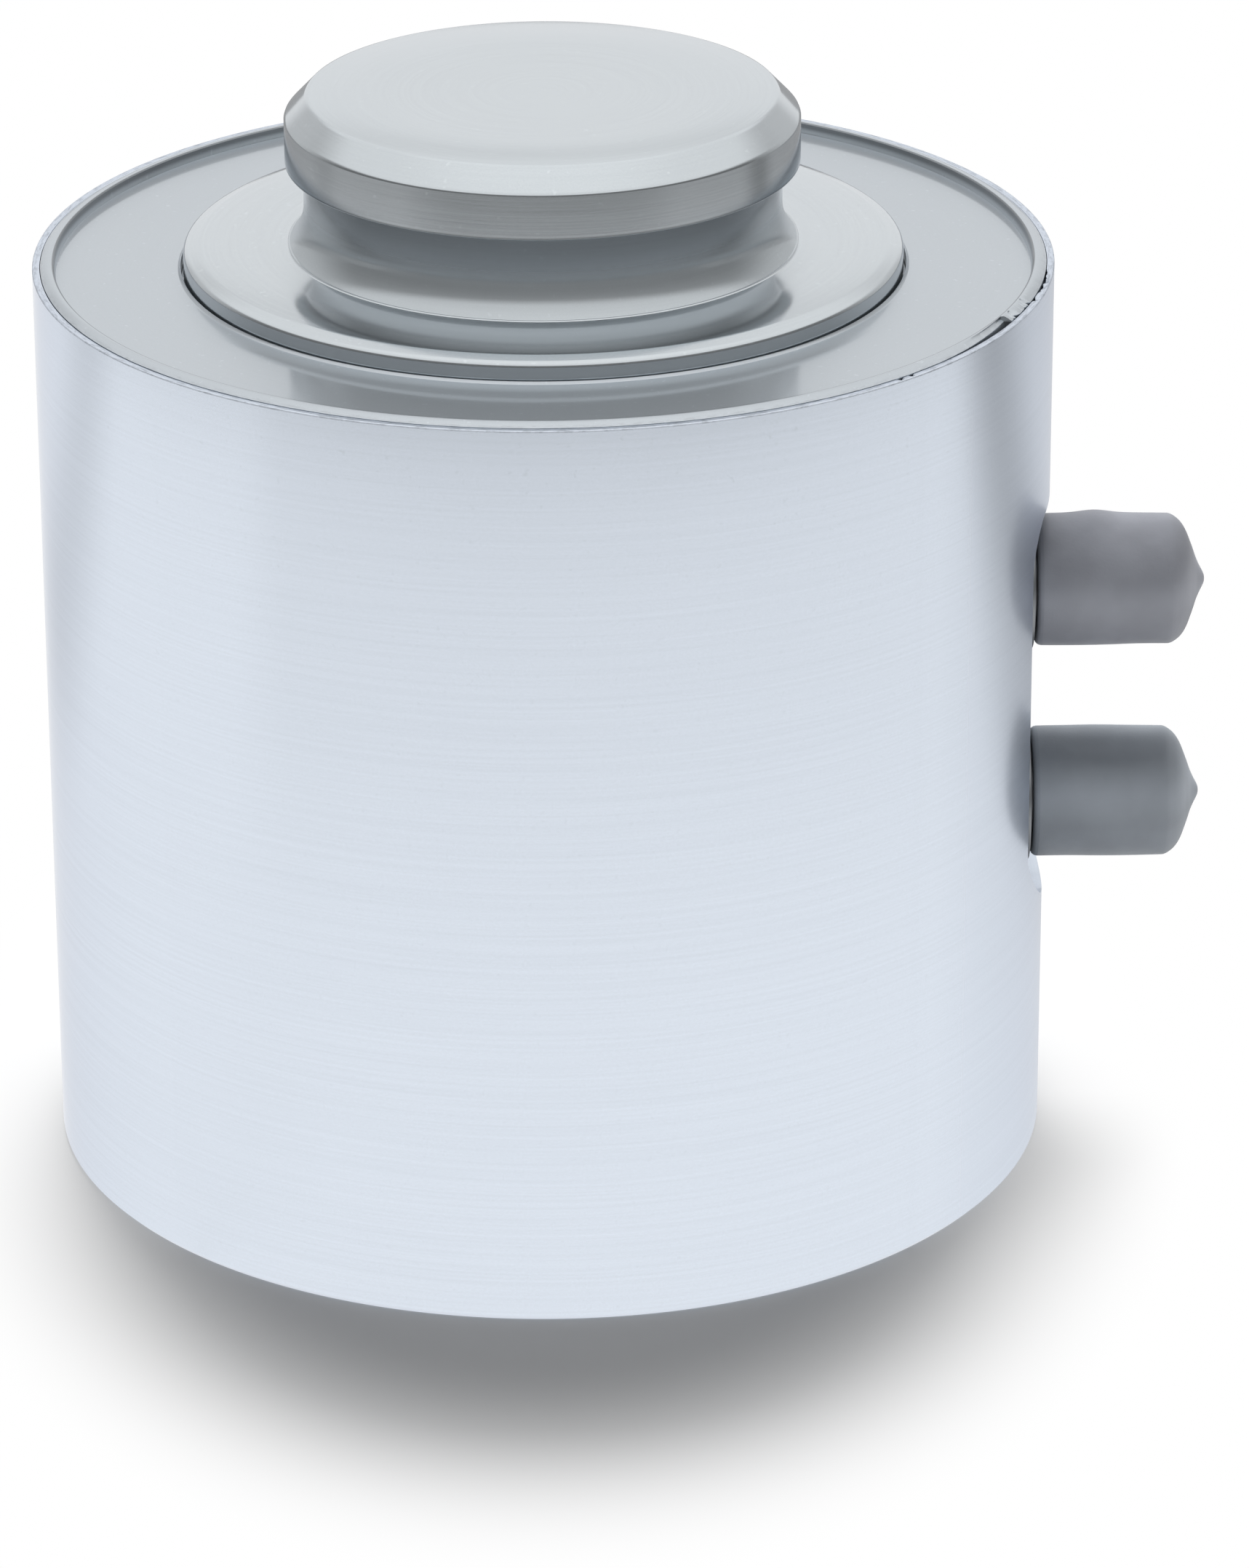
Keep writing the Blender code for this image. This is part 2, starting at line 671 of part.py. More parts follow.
def connector_fixing(letter, axis):
    """The lock nut inside the wall and the seal ring under the flange."""
    nut = rod("lock_nut_" + letter, hexagon_radius(NUT_FLATS), nut_back, nut_seat, 6)
    back = nut_back - CUT_OVERRUN
    front = nut_seat + CUT_OVERRUN
    thread = rod("nut_cutter_" + letter, barrel_hole, back, front, CONNECTOR_STEPS)
    cut(nut, finish_cutter(on_axis(thread, axis)))
    finish_piece(on_axis(nut, axis), STEEL_PLAIN)

    centre = (seal_major, -seal_groove / 2)
    section = arc(centre, SEAL_SECTION, 90, -270, SEAL_STEPS)[:-1]
    seal = turned("seal_ring_" + letter, section, True, CONNECTOR_STEPS)
    finish_piece(on_axis(seal, axis), RUBBER)


def lead_bundle(letter, side):
    """The sleeved leads from the back of a connector to the board."""
    height = connector_heights[letter]
    start = Vector((pocket_floor + pin_back - GAP, 0, height))
    end = around(side * BUNDLE_ANGLE, board_middle, board_top + GAP)
    inwards = Vector((-BUNDLE_REACH, 0, 0))
    upwards = Vector((0, 0, min(BUNDLE_DROP, height - board_top)))
    bundle = tube_along("lead_bundle_" + letter, start, inwards, end, upwards, BUNDLE_RADIUS)
    finish_piece(bundle, SLEEVE_GREY)


def transit_cap(letter, axis):
    """A soft cup with a slightly barrelled side, a round shoulder, a cone and a small dome."""
    inner = BARREL_RADIUS + HOLE_PLAY
    outer = inner + CAP_WALL
    base = flange_face + GAP
    shoulder = base + CAP_SIDE
    cone = shoulder + CAP_SHOULDER
    dome = cone + CAP_CONE
    profile = []
    for i in range(ARC_STEPS + 1):
        turn = math.pi / 2 * i / ARC_STEPS
        height = dome + CAP_DOME_HEIGHT * math.cos(turn)
        profile.append((CAP_DOME_RADIUS * math.sin(turn), height))
    for i in range(ARC_STEPS + 1):
        turn = math.pi / 2 * i / ARC_STEPS
        radius = outer - CAP_SHOULDER_DROP * (1 - math.sin(turn))
        profile.append((radius, shoulder + CAP_SHOULDER * math.cos(turn)))
    lip_round = min(CAP_LIP_ROUND, FILLET_SHARE * CAP_WALL)
    profile += [
        (outer + CAP_BULGE, base + CAP_SIDE / 2),
        (outer, base + lip_round),
        (outer - lip_round, base),
        (inner, base),
        (inner, shoulder),
        (0, dome + CAP_DOME_HEIGHT - CAP_END_WALL),
    ]
    cap = turned("transit_cap_" + letter, profile, False, CONNECTOR_STEPS)
    finish_piece(on_axis(cap, axis), VINYL)


def connectors():
    for letter, side in (("a", 1), ("b", -1)):
        axis = CONNECTOR_AXES[letter]
        connector_shell(letter, axis)
        connector_contacts(letter, axis)
        connector_fixing(letter, axis)
        lead_bundle(letter, side)
        transit_cap(letter, axis)


clear_scene()
PARTS = make_collection("load_cell")
CUTTERS = make_collection("load_cell_cutters")
CONNECTOR_AXES = {letter: connector_axis(letter) for letter in connector_heights}
housing_shell()
top_cover()
base_ring()
spring_element()
strain_gauges()
compensation_board()
trim_resistors()
connectors()
shade_pieces()
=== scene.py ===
import math

import bmesh
import bpy
import numpy as np
from mathutils import Matrix, Vector


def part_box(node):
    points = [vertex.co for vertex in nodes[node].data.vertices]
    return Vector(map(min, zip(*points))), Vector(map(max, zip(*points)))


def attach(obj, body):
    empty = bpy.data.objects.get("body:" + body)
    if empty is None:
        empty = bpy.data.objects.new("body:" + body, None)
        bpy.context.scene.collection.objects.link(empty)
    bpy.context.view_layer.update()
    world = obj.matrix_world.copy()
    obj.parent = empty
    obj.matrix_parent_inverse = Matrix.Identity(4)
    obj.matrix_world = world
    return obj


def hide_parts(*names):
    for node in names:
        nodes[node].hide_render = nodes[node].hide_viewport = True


# Load cell with a load button on top and two capped connectors on its right side.
# Metres, +Z up, the base stands on Z = 0 and the connectors point along +X.

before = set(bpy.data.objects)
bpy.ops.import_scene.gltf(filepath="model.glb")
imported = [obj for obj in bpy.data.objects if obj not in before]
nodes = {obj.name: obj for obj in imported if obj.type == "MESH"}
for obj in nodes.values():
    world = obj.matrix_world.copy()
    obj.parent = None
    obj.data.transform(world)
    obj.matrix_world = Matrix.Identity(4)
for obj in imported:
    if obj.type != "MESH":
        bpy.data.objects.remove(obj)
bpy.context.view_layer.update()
scene = bpy.context.scene
print("frame loaded:", len(nodes), "nodes")


# shader maths

def plug(tree, slot, value):
    if isinstance(value, Wire):
        tree.links.new(value.socket, slot)
    else:
        slot.default_value = value


class Wire:  # one shader socket that can be added, multiplied and so on
    def __init__(self, tree, socket):
        self.tree = tree
        self.socket = socket

    def maths(self, operation, *values):
        node = self.tree.nodes.new("ShaderNodeMath")
        node.operation = operation
        for slot, value in zip(node.inputs, values):
            plug(self.tree, slot, value)
        return Wire(self.tree, node.outputs[0])

    def __add__(self, other):
        return self.maths("ADD", self, other)

    def __radd__(self, other):
        return self.maths("ADD", other, self)

    def __sub__(self, other):
        return self.maths("SUBTRACT", self, other)

    def __rsub__(self, other):
        return self.maths("SUBTRACT", other, self)

    def __mul__(self, other):
        return self.maths("MULTIPLY", self, other)

    def __rmul__(self, other):
        return self.maths("MULTIPLY", other, self)

    def __pow__(self, other):
        return self.maths("POWER", self, other)

    def step(self, low, high):  # 0 below low, 1 above high, smooth between
        node = self.tree.nodes.new("ShaderNodeMapRange")
        node.interpolation_type = "SMOOTHSTEP"
        for slot, value in zip(node.inputs, (self, low, high, 0.0, 1.0)):
            plug(self.tree, slot, value)
        return Wire(self.tree, node.outputs[0])

    def within(self, low, lowFull, highFull, high):  # 1 from lowFull to highFull, 0 outside
        return self.step(low, lowFull) * (1 - self.step(highFull, high))

    def bell(self, middle, width):  # 1 at middle, falling to 0 at width on either side
        away = self.maths("ABSOLUTE", self - middle)
        return 1 - away.step(0.0, width)

    def swing(self, amount):  # a noise turned into a change of half the amount either way
        return (self - 0.5) * amount


class Paint:  # a material whose nodes are added one call at a time
    def __init__(self, name, world=None):
        self.owner = world or bpy.data.materials.new(name)
        self.owner.use_nodes = True
        self.tree = self.owner.node_tree
        self.tree.nodes.clear()

    def add(self, kind, settings=None, sockets=None, out=0):
        node = self.tree.nodes.new(kind)
        for key, value in (settings or {}).items():
            setattr(node, key, value)
        for key, value in (sockets or {}).items():
            plug(self.tree, node.inputs[key], value)
        return Wire(self.tree, node.outputs[out])

    def end(self, kind, shader):  # the output node
        output = self.tree.nodes.new(kind)
        self.tree.links.new(shader.socket, output.inputs["Surface"])

    def place(self):  # object coordinates
        return self.add("ShaderNodeTexCoord", out="Object")

    def ray(self, kind):  # 1 for the rays of that kind
        return self.add("ShaderNodeLightPath", out="Is " + kind + " Ray")

    def stretched(self, vector, scale):
        return self.add("ShaderNodeVectorMath", {"operation": "MULTIPLY"}, {0: vector, 1: scale})

    def joined(self, x, y, z):
        return self.add("ShaderNodeCombineXYZ", None, {0: x, 1: y, 2: z})

    def split(self, vector):
        x = self.add("ShaderNodeSeparateXYZ", None, {0: vector})
        outputs = x.socket.node.outputs
        return x, Wire(self.tree, outputs[1]), Wire(self.tree, outputs[2])

    def noise(self, vector, scale, detail, rough):
        values = {"Vector": vector, "Scale": scale, "Detail": detail, "Roughness": rough}
        return self.add("ShaderNodeTexNoise", None, values)

    def blend(self, share, first, second):  # colours
        sockets = {0: share, 6: first, 7: second}
        return self.add("ShaderNodeMix", {"data_type": "RGBA"}, sockets, out=2)

    def mixed(self, share, first, second):  # shaders
        return self.add("ShaderNodeMixShader", None, {0: share, 1: first, 2: second})

    def bump(self, height, distance, strength=1.0):
        values = {"Height": height, "Distance": distance, "Strength": strength}
        return self.add("ShaderNodeBump", None, values)

    def glow(self, kind, strength):  # white light from a surface or the sky
        return self.add(kind, None, {"Color": (1, 1, 1, 1), "Strength": strength})

    def finish(self, haze=None, **values):
        names = {
            "colour": "Base Color", "rough": "Roughness", "metal": "Metallic", "normal": "Normal",
            "specular": "Specular IOR Level", "edge": "Specular Tint",
            "brushed": "Anisotropic", "brushTurn": "Anisotropic Rotation",
        }
        sockets = {names[k]: v for k, v in values.items()}
        shader = self.add("ShaderNodeBsdfPrincipled", None, sockets)
        if haze:  # part of the gloss is spread wide, as by fine scratches: share, roughness
            wide = self.add("ShaderNodeBsdfPrincipled", None, dict(sockets, Roughness=haze[1]))
            shader = self.mixed(haze[0], shader, wide)
        self.end("ShaderNodeOutputMaterial", shader)
        return self.owner


def tint(colour, factor=1.0):
    return (colour[0] * factor, colour[1] * factor, colour[2] * factor, 1.0)


# surfaces

def arcPoints(middle, radius, start, end, steps):
    # middle + radius * (cos a, sin a), for angles a in degrees from start to end
    a = np.radians(np.linspace(start, end, steps + 1))
    return np.stack([middle[0] + radius * np.cos(a), middle[1] + radius * np.sin(a)], 1)


def runOf(*parts):
    # joins points and arcs into one profile and drops points that repeat
    rows = np.concatenate([np.atleast_2d(np.array(p, float)) for p in parts])
    keep = np.append(True, np.linalg.norm(np.diff(rows, axis=0), axis=1) > 1e-7)
    return rows[keep]


def hold(name, data):
    # puts a mesh, lamp or camera into the scene
    holder = bpy.data.objects.new(name, data)
    scene.collection.objects.link(holder)
    return holder


def solidPiece(name, points, faces):
    # merges the points that coincide, as at poles, and turns the faces outwards
    mesh = bpy.data.meshes.new(name)
    mesh.from_pydata(points.tolist(), [], faces)
    work = bmesh.new()
    work.from_mesh(mesh)
    bmesh.ops.remove_doubles(work, verts=work.verts, dist=1e-7)
    bmesh.ops.recalc_face_normals(work, faces=work.faces)
    work.to_mesh(mesh)
    work.free()
    return hold(name, mesh)


def shadeSmooth(mesh, sharpAngle=30):
    # smooth, but for edges where faces meet at more than sharpAngle degrees
    mesh.shade_smooth()
    mesh.set_sharp_from_angle(angle=math.radians(sharpAngle))


def turned(name, profile, angles, shape=None, closed=True, sharpAngle=30):
    # point (i, j) = (r_j cos a_i, r_j sin a_i, z_j), where a_i goes once round the Z axis;
    # shape may move the arrays of radius and height by angle before that
    rows, columns = len(angles), len(profile)
    radius = np.repeat(profile[None, :, 0], rows, 0)
    height = np.repeat(profile[None, :, 1], rows, 0)
    turn = np.repeat(angles[:, None], columns, 1)
    if shape:
        radius, height = shape(radius, height, turn)
    points = np.stack([radius * np.cos(turn), radius * np.sin(turn), height], 2)
    i = np.arange(rows)[:, None]
    j = np.arange(columns if closed else columns - 1)[None, :]
    nextRow = (i + 1) % rows
    nextColumn = (j + 1) % columns
    faces = np.stack([i * columns + j, nextRow * columns + j,
                      nextRow * columns + nextColumn, i * columns + nextColumn], 2)
    piece = solidPiece(name, points.reshape(-1, 3), faces.reshape(-1, 4).tolist())
    shadeSmooth(piece.data, sharpAngle)
    return piece


def evenAngles(steps):
    return 2 * math.pi * np.arange(steps) / steps


def hump(value, middle, width):
    # exp(-((value - middle) / width) ^ 2), 1 at the middle
    return np.exp(-((value - middle) / width) ** 2)


def ragged(value, fineness, seed):
    # a sum of sines at unrelated rates, between about -1 and 1, for torn edges
    phase = np.random.default_rng(seed).uniform(0, 2 * math.pi, 5)
    rates = fineness * np.array([1.0, 1.73, 2.91, 4.37, 7.13])
    size = np.array([0.34, 0.26, 0.18, 0.13, 0.09])
    return sum(s * np.sin(r * value + p) for s, r, p in zip(size, rates, phase))


def prism(name, outline, start, end):
    # the outline (y, z) carried along X from start to end, closed by two flat ends
    count = len(outline)
    near = np.column_stack([np.full(count, start), outline])
    far = np.column_stack([np.full(count, end), outline])
    i = np.arange(count)
    sides = np.stack([i, (i + 1) % count, (i + 1) % count + count, i + count], 1)
    faces = sides.tolist() + [i.tolist(), (i + count).tolist()]
    return solidPiece(name, np.concatenate([near, far]), faces)


def cutAway(piece, tools):
    # takes the tools out of the piece and throws them away
    for tool in tools:
        change = piece.modifiers.new("cut", "BOOLEAN")
        change.operation = "DIFFERENCE"
        change.solver = "EXACT"
        change.object = tool
    graph = bpy.context.evaluated_depsgraph_get()
    mesh = bpy.data.meshes.new_from_object(piece.evaluated_get(graph))
    piece.modifiers.clear()
    piece.data = mesh
    for tool in tools:
        bpy.data.objects.remove(tool)
    shadeSmooth(mesh)


def readOut(items, what, width, kind=np.float32):
    # one value or vector of every corner, vertex or face as the rows of an array
    values = np.zeros(len(items) * width, kind)
    items.foreach_get(what, values)
    return values.reshape(-1, width)


def roundNormals(piece, radii, slack=4e-5, aligned=0.985):
    # corners of upright faces on these radii get the normal (x, y, 0) / r of a true cylinder
    mesh = piece.data
    corners = readOut(mesh.corner_normals, "vector", 3)
    owner = readOut(mesh.loops, "vertex_index", 1, np.int32)[:, 0]
    spots = readOut(mesh.vertices, "co", 3)[owner]
    size = readOut(mesh.polygons, "loop_total", 1, np.int32)[:, 0]
    facing = np.repeat(readOut(mesh.polygons, "normal", 3), size, 0)
    away = np.hypot(spots[:, 0], spots[:, 1])
    outward = spots * (1, 1, 0) / np.maximum(away, 1e-6)[:, None]
    lined = (outward * facing).sum(1)
    for radius in radii:
        on = (np.abs(away - radius) < slack) & (np.abs(lined) > aligned)
        corners[on] = outward[on] * np.sign(lined[on])[:, None]
    mesh.normals_split_custom_set(corners.tolist())


def dress(piece, material, slot, *replaced):
    piece.data.materials.clear()
    piece.data.materials.append(material)
    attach(piece, "root")
    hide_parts(*replaced)


# sizes shared by the pieces, as the solids have them

body = {
    "radius": 0.065,
    "height": 0.1191,
    "coverFace": 0.1182,
    "coverThickness": 0.001,
    "gap": 0.0003,
    "coverInner": 0.04615,
    "discRadius": 0.04585,
    "discFace": 0.1213,
    "pocketFloor": 0.06187,
    "upperConnector": 0.0740,
    "lowerConnector": 0.0441,
}
coverShelf = body["coverFace"] - body["coverThickness"] - body["gap"]


# steels: a pair of numbers is where a change starts and ends, four numbers are where it
# starts, is full, ends being full and ends

def neckHazeAndShade(look, z, radius, share, spread):
    # the fillet at the neck's foot is duller, the neck brighter, and painted shade darkens the
    # neck's top under the button
    fillet = z.within(*look["fillet"]) * (1 - radius.step(*look["outside"]))
    neck = z.within(*look["neck"])
    share = share + fillet * (look["share"] - share) - neck * (share - look["neckShare"])
    shadeAndMottle = z.within(*look["under"]) * look["underShade"]
    return share, spread + fillet * look["spread"], shadeAndMottle


def weldMottleAndShade(paint, look, place, radius, share):
    # mottled weld on the rim's top, and painted shade down in the seam
    x, y, z = place
    band = radius.step(*look["bandRadius"]) * z.step(*look["bandHeight"])
    run = paint.joined(radius * look["across"], x * look["along"], y * look["along"])
    mottle = paint.noise(run, 1.0, 4.0, 0.7).step(*look["mottle"])
    slot = z.within(*look["slotHeight"]) * radius.within(*look["slotRadius"])
    shadeAndMottle = band * mottle * look["shade"] + slot * look["slotShade"]
    share = share + band * (look["share"] - share)
    dull = 0.0
    if "slopeShade" in look:  # painted shade on the inner side of the turned-up edge
        slope = radius.within(*look["slopeRadius"]) * z.step(*look["slopeHeight"])
        shadeAndMottle = shadeAndMottle + slope * look["slopeShade"]
    if "satinShare" in look:  # duller round the pocket
        satin = x.step(*look["satinX"]) * (1 - band)
        share = share + satin * look["satinShare"]
        dull = satin * look["satinRough"]
    return share, shadeAndMottle, dull


def turnedSteel(name, look):
    # Fine turning marks run round the Z axis: a noise that is drawn out along X and Y and
    # tight along Z on upright faces, and a noise of the radius on level faces. Specks and
    # a slow cloudiness change the colour and the roughness a little.
    paint = Paint(name)
    place = paint.place()
    x, y, z = paint.split(place)
    radius = (x * x + y * y) ** 0.5
    along, tight = look["along"], look["tight"]
    flat = paint.split(paint.add("ShaderNodeNewGeometry", out="Normal"))[2].step(*look["flat"])
    around = paint.noise(paint.stretched(place, (along, along, tight)), 1.0, 3.0, 0.6)
    rings = paint.noise(paint.joined(radius * tight, x * along, y * along), 1.0, 3.0, 0.6)
    marks = around * (1 - flat) + rings * flat
    grain = paint.noise(place, look["grain"], 3.0, 0.6)
    cloud = paint.noise(place, look["cloud"], 2.0, 0.5)
    speck = paint.noise(place, look["speck"], 1.0, 0.5).step(*look["speckStep"])
    share, spread = look["haze"]
    # the neck and the weld darken the colour with painted shade, the weld with its mottle too
    shadeAndMottle, dull = 0.0, 0.0
    if "neck" in look:
        share, spread, shadeAndMottle = neckHazeAndShade(look["neck"], z, radius, share, spread)
    if "weld" in look:
        share, shadeAndMottle, dull = weldMottleAndShade(paint, look["weld"], (x, y, z), radius, share)
    tone = 1 + marks.swing(look["markShade"]) + grain.swing(look["grainShade"])
    tone = tone + cloud.swing(look["cloudShade"]) - speck * look["speckShade"] - shadeAndMottle
    # the blend takes the tones from 0.5 to 1.5
    colour = paint.blend(tone - 0.5, tint(look["colour"], 0.5), tint(look["colour"], 1.5))
    rough = look["rough"] + marks.swing(look["markRough"]) + cloud.swing(look["cloudRough"])
    rough = rough + speck * look["speckRough"] + dull
    height = marks * look["markDepth"] + grain * look["grainDepth"]
    return paint.finish((share, spread), colour=colour, rough=rough, metal=1.0,
                        normal=paint.bump(height, look["bump"]), edge=tint(look["edge"]),
                        brushed=look["brushed"], brushTurn=look["brushTurn"])


steelBase = {
    "flat": (0.5, 0.8), "speckStep": (0.70, 0.76), "speckRough": 0.02, "cloudRough": 0.05,
    "bump": 0.00002, "brushed": 0.0, "brushTurn": 0.25,
}
weldBase = {
    "bandHeight": (0.1188, 0.1190), "across": 3000.0, "along": 600.0, "mottle": (0.42, 0.66),
    "share": 0.7,
}
shellLook = {
    **steelBase,
    "colour": (0.73, 0.787, 0.868),
    "along": 20.0, "tight": 2300.0, "grain": 4600.0, "cloud": 22.0, "speck": 1500.0,
    "markShade": 0.11, "grainShade": 0.11, "cloudShade": 0.03, "speckShade": 0.02,
    "rough": 0.14, "markRough": 0.02, "markDepth": 0.004, "grainDepth": 0.015,
    "haze": (0.05, 0.40), "edge": (0.84, 0.85, 0.88), "brushed": 0.5,
    "weld": {
        **weldBase,
        "bandRadius": (0.06415, 0.06425), "shade": 0.3,
        # slot: painted shade down in the seam between rim and cover
        "slotRadius": (0.06375, 0.0638, 0.0642, 0.06425),
        "slotHeight": (0.1165, 0.1166, 0.11875, 0.1189), "slotShade": 0.6,
        "satinX": (0.047, 0.060), "satinShare": 0.5, "satinRough": 0.07,
    },
}
coverLook = {
    **steelBase,
    "colour": (0.59, 0.63, 0.665),
    "along": 40.0, "tight": 2600.0, "grain": 6500.0, "cloud": 30.0, "speck": 1200.0,
    "markShade": 0.03, "grainShade": 0.14, "cloudShade": 0.03, "speckShade": -0.1,
    "rough": 0.10, "markRough": 0.03, "markDepth": 0.02, "grainDepth": 0.05,
    "haze": (0.66, 0.46), "edge": (0.97, 0.97, 0.98),
    "weld": {
        **weldBase,
        "bandRadius": (0.06355, 0.06365), "shade": 0.12,
        # slot and slope: painted shade in the seam and at the foot of the turned-up edge
        "slotRadius": (0.06255, 0.0626, 0.0642, 0.06425),
        "slotHeight": (0.1165, 0.1166, 0.11885, 0.1190), "slotShade": 0.8,
        "slopeRadius": (0.06195, 0.06205, 0.06245, 0.06255),
        "slopeHeight": (0.1184, 0.1192), "slopeShade": 0.55,
    },
}
elementLook = {
    **steelBase,
    "colour": (0.628, 0.668, 0.694),
    "along": 40.0, "tight": 3400.0, "grain": 6500.0, "cloud": 30.0, "speck": 1200.0,
    "markShade": 0.08, "grainShade": 0.12, "cloudShade": 0.04, "speckShade": -0.06,
    "rough": 0.12, "markRough": 0.05, "markDepth": 0.05, "grainDepth": 0.05,
    "haze": (0.23, 0.44), "edge": (0.97, 0.97, 0.98),
    "neck": {
        "fillet": (0.1213, 0.1216, 0.1252, 0.1285), "outside": (0.0326, 0.0329),
        "share": 0.6, "spread": 0.12,
        "neck": (0.1252, 0.1285, 0.1325, 0.1327), "neckShare": 0.05,
        # under: painted shade on the neck's top, under the button's overhang
        "under": (0.1252, 0.1318, 0.1321, 0.1324), "underShade": 0.5,
    },
}
connectorLook = dict(coverLook, colour=(0.30, 0.312, 0.325), rough=0.38, edge=(0.4, 0.41, 0.43))
del connectorLook["weld"]
shellSteel = turnedSteel("shellSteel", shellLook)
coverSteel = turnedSteel("coverSteel", coverLook)
elementSteel = turnedSteel("elementSteel", elementLook)
connectorSteel = turnedSteel("connectorSteel", connectorLook)
print("steels made")


# flaws of the welded rim, by angle in degrees from the connectors

rimFlaws = {
    "steps": 288, "fineFrom": -54.0, "fineTo": -3.0, "fineSteps": 420, "fineGap": 0.2,
    "creviceFrom": -40.5, "creviceTo": -25.0, "creviceWidth": 0.001, "creviceGrowth": 1.2,
    "tornTo": -17.0, "tornShare": 0.9, "tornFineness": 90.0, "tornSeed": 3,
    "chipFrom": -15.0, "chipTo": -6.5, "chipDepth": 0.00045, "chipRound": 0.5,
    "chipLeast": 0.65, "chipUneven": 0.5, "chipFineness": 126.0, "chipSeed": 5,
    # single burrs: angle, width and share of the chips' depth
    "burrs": ((-47.7, 0.35, 0.8), (-46.0, 0.3, 0.8), (-17.0, 0.5, 0.56)),
}


def rimAngles():
    # even steps all round, with finer ones between fineFrom and fineTo
    f = rimFlaws
    even = np.linspace(-180, 180, f["steps"], endpoint=False)
    fine = np.linspace(f["fineFrom"], f["fineTo"], f["fineSteps"])
    even = even[(even < f["fineFrom"] - f["fineGap"]) | (even > f["fineTo"] + f["fineGap"])]
    return np.radians(np.sort(np.concatenate([even, fine])))


def creviceAt(degrees):
    # how far the seam between rim and cover gapes: it widens slowly, then ends in a torn edge
    f = rimFlaws
    grow = np.clip((degrees - f["creviceFrom"]) / (f["creviceTo"] - f["creviceFrom"]), 0, 1)
    inside = (degrees < f["creviceTo"]) * grow ** f["creviceGrowth"]
    torn = (degrees >= f["creviceTo"]) & (degrees < f["tornTo"])
    bits = np.clip(ragged(np.radians(degrees), f["tornFineness"], f["tornSeed"]), 0, 1)
    return f["creviceWidth"] * (inside + torn * bits * f["tornShare"])


def chipAt(degrees):
    # how deep the rim's inner edge is chipped
    f = rimFlaws
    middle = (f["chipFrom"] + f["chipTo"]) / 2
    half = (f["chipTo"] - f["chipFrom"]) / 2
    inside = np.clip(1 - np.abs(degrees - middle) / half, 0, 1) ** f["chipRound"]
    bits = ragged(np.radians(degrees), f["chipFineness"], f["chipSeed"])
    burrs = sum(share * hump(degrees, at, width) for at, width, share in f["burrs"])
    return f["chipDepth"] * (inside * (f["chipLeast"] + f["chipUneven"] * bits) + burrs)


# housing shell

shellForm = {
    "bore": 0.0585, "step": 0.0015, "ringStop": 0.0103, "rimBore": 0.06402,
    "rimRound": 0.00018, "innerRound": 0.0002, "chamfer": 0.0006,
    # rows of points: shares of the height on the outside, depths under the rim inside it
    "outerRows": (0.75, 0.5, 0.25), "innerRows": (0.0010, 0.0005),
    "pocketCorner": 0.0075, "pocketBow": 0.0112, "pocketSide": 0.0004,
    "pocketLow": 0.0317, "pocketHigh": 0.0881, "pocketPast": 0.004,
    "holeRadius": 0.0063, "holePast": 0.006, "grooveRadius": 0.0072, "grooveDepth": 0.0014,
    # what moves at a chip: from which depth, over what height, how far out from the rim's
    # bore, and the shares by which it moves outwards and down
    "chipFrom": 0.0006, "chipOver": 0.0004, "chipReach": 0.0003, "chipOut": 0.8, "chipDown": 0.7,
}


def pocketOutline():
    # level top edge with two quarter circles, and one long arc that bows down below
    f = shellForm
    half = math.sqrt(body["radius"] ** 2 - body["pocketFloor"] ** 2) + f["pocketSide"]
    corner = f["pocketCorner"]
    bow = (half ** 2 + f["pocketBow"] ** 2) / (2 * f["pocketBow"])
    spread = math.degrees(math.asin(half / bow))
    return runOf(
        arcPoints((half - corner, f["pocketHigh"] - corner), corner, 0, 90, 16),
        arcPoints((corner - half, f["pocketHigh"] - corner), corner, 90, 180, 16),
        arcPoints((0, f["pocketLow"] + bow), bow, 270 - spread, 270 + spread, 40),
    )


def circle(radius, height, steps=64):
    a = evenAngles(steps)
    return np.stack([radius * np.cos(a), height + radius * np.sin(a)], 1)


def makeShell():
    f = shellForm
    r, h = body["radius"], body["height"]
    bore, rimBore, floor = f["bore"], f["rimBore"], body["pocketFloor"]
    rim, inner = f["rimRound"], f["innerRound"]
    profile = runOf(
        arcPoints((r - rim, h - rim), rim, 90, 0, 5),
        [(r, h * row) for row in f["outerRows"]],
        [(r, f["chamfer"]), (r - f["chamfer"], 0)],
        [(bore + f["step"], 0), (bore + f["step"], f["ringStop"])],
        [(bore, f["ringStop"]), (bore, coverShelf), (rimBore, coverShelf)],
        [(rimBore, h - row) for row in f["innerRows"]],
        arcPoints((rimBore + inner, h - inner), inner, 180, 90, 2),
    )

    def chipped(radius, height, turn):
        # the rim's inner edge moves outwards and down where it is chipped
        edge = np.clip((height - (h - f["chipFrom"])) / f["chipOver"], 0, 1)
        depth = chipAt(np.degrees(turn)) * edge * (radius < rimBore + f["chipReach"])
        return radius + depth * f["chipOut"], height - depth * f["chipDown"]

    shell = turned("shellWall", profile, rimAngles(), chipped)
    tools = [prism("pocketTool", pocketOutline(), floor, r + f["pocketPast"])]
    for height in (body["upperConnector"], body["lowerConnector"]):
        hole = circle(f["holeRadius"], height)
        groove = circle(f["grooveRadius"], height)
        tools.append(prism("portTool", hole, bore - f["holePast"], r))
        tools.append(prism("sealTool", groove, floor - f["grooveDepth"], r))
    cutAway(shell, tools)
    roundNormals(shell, (r, bore, rimBore))
    dress(shell, shellSteel, "shell_steel", "housing_shell")


makeShell()
print("housing shell made")


# top cover

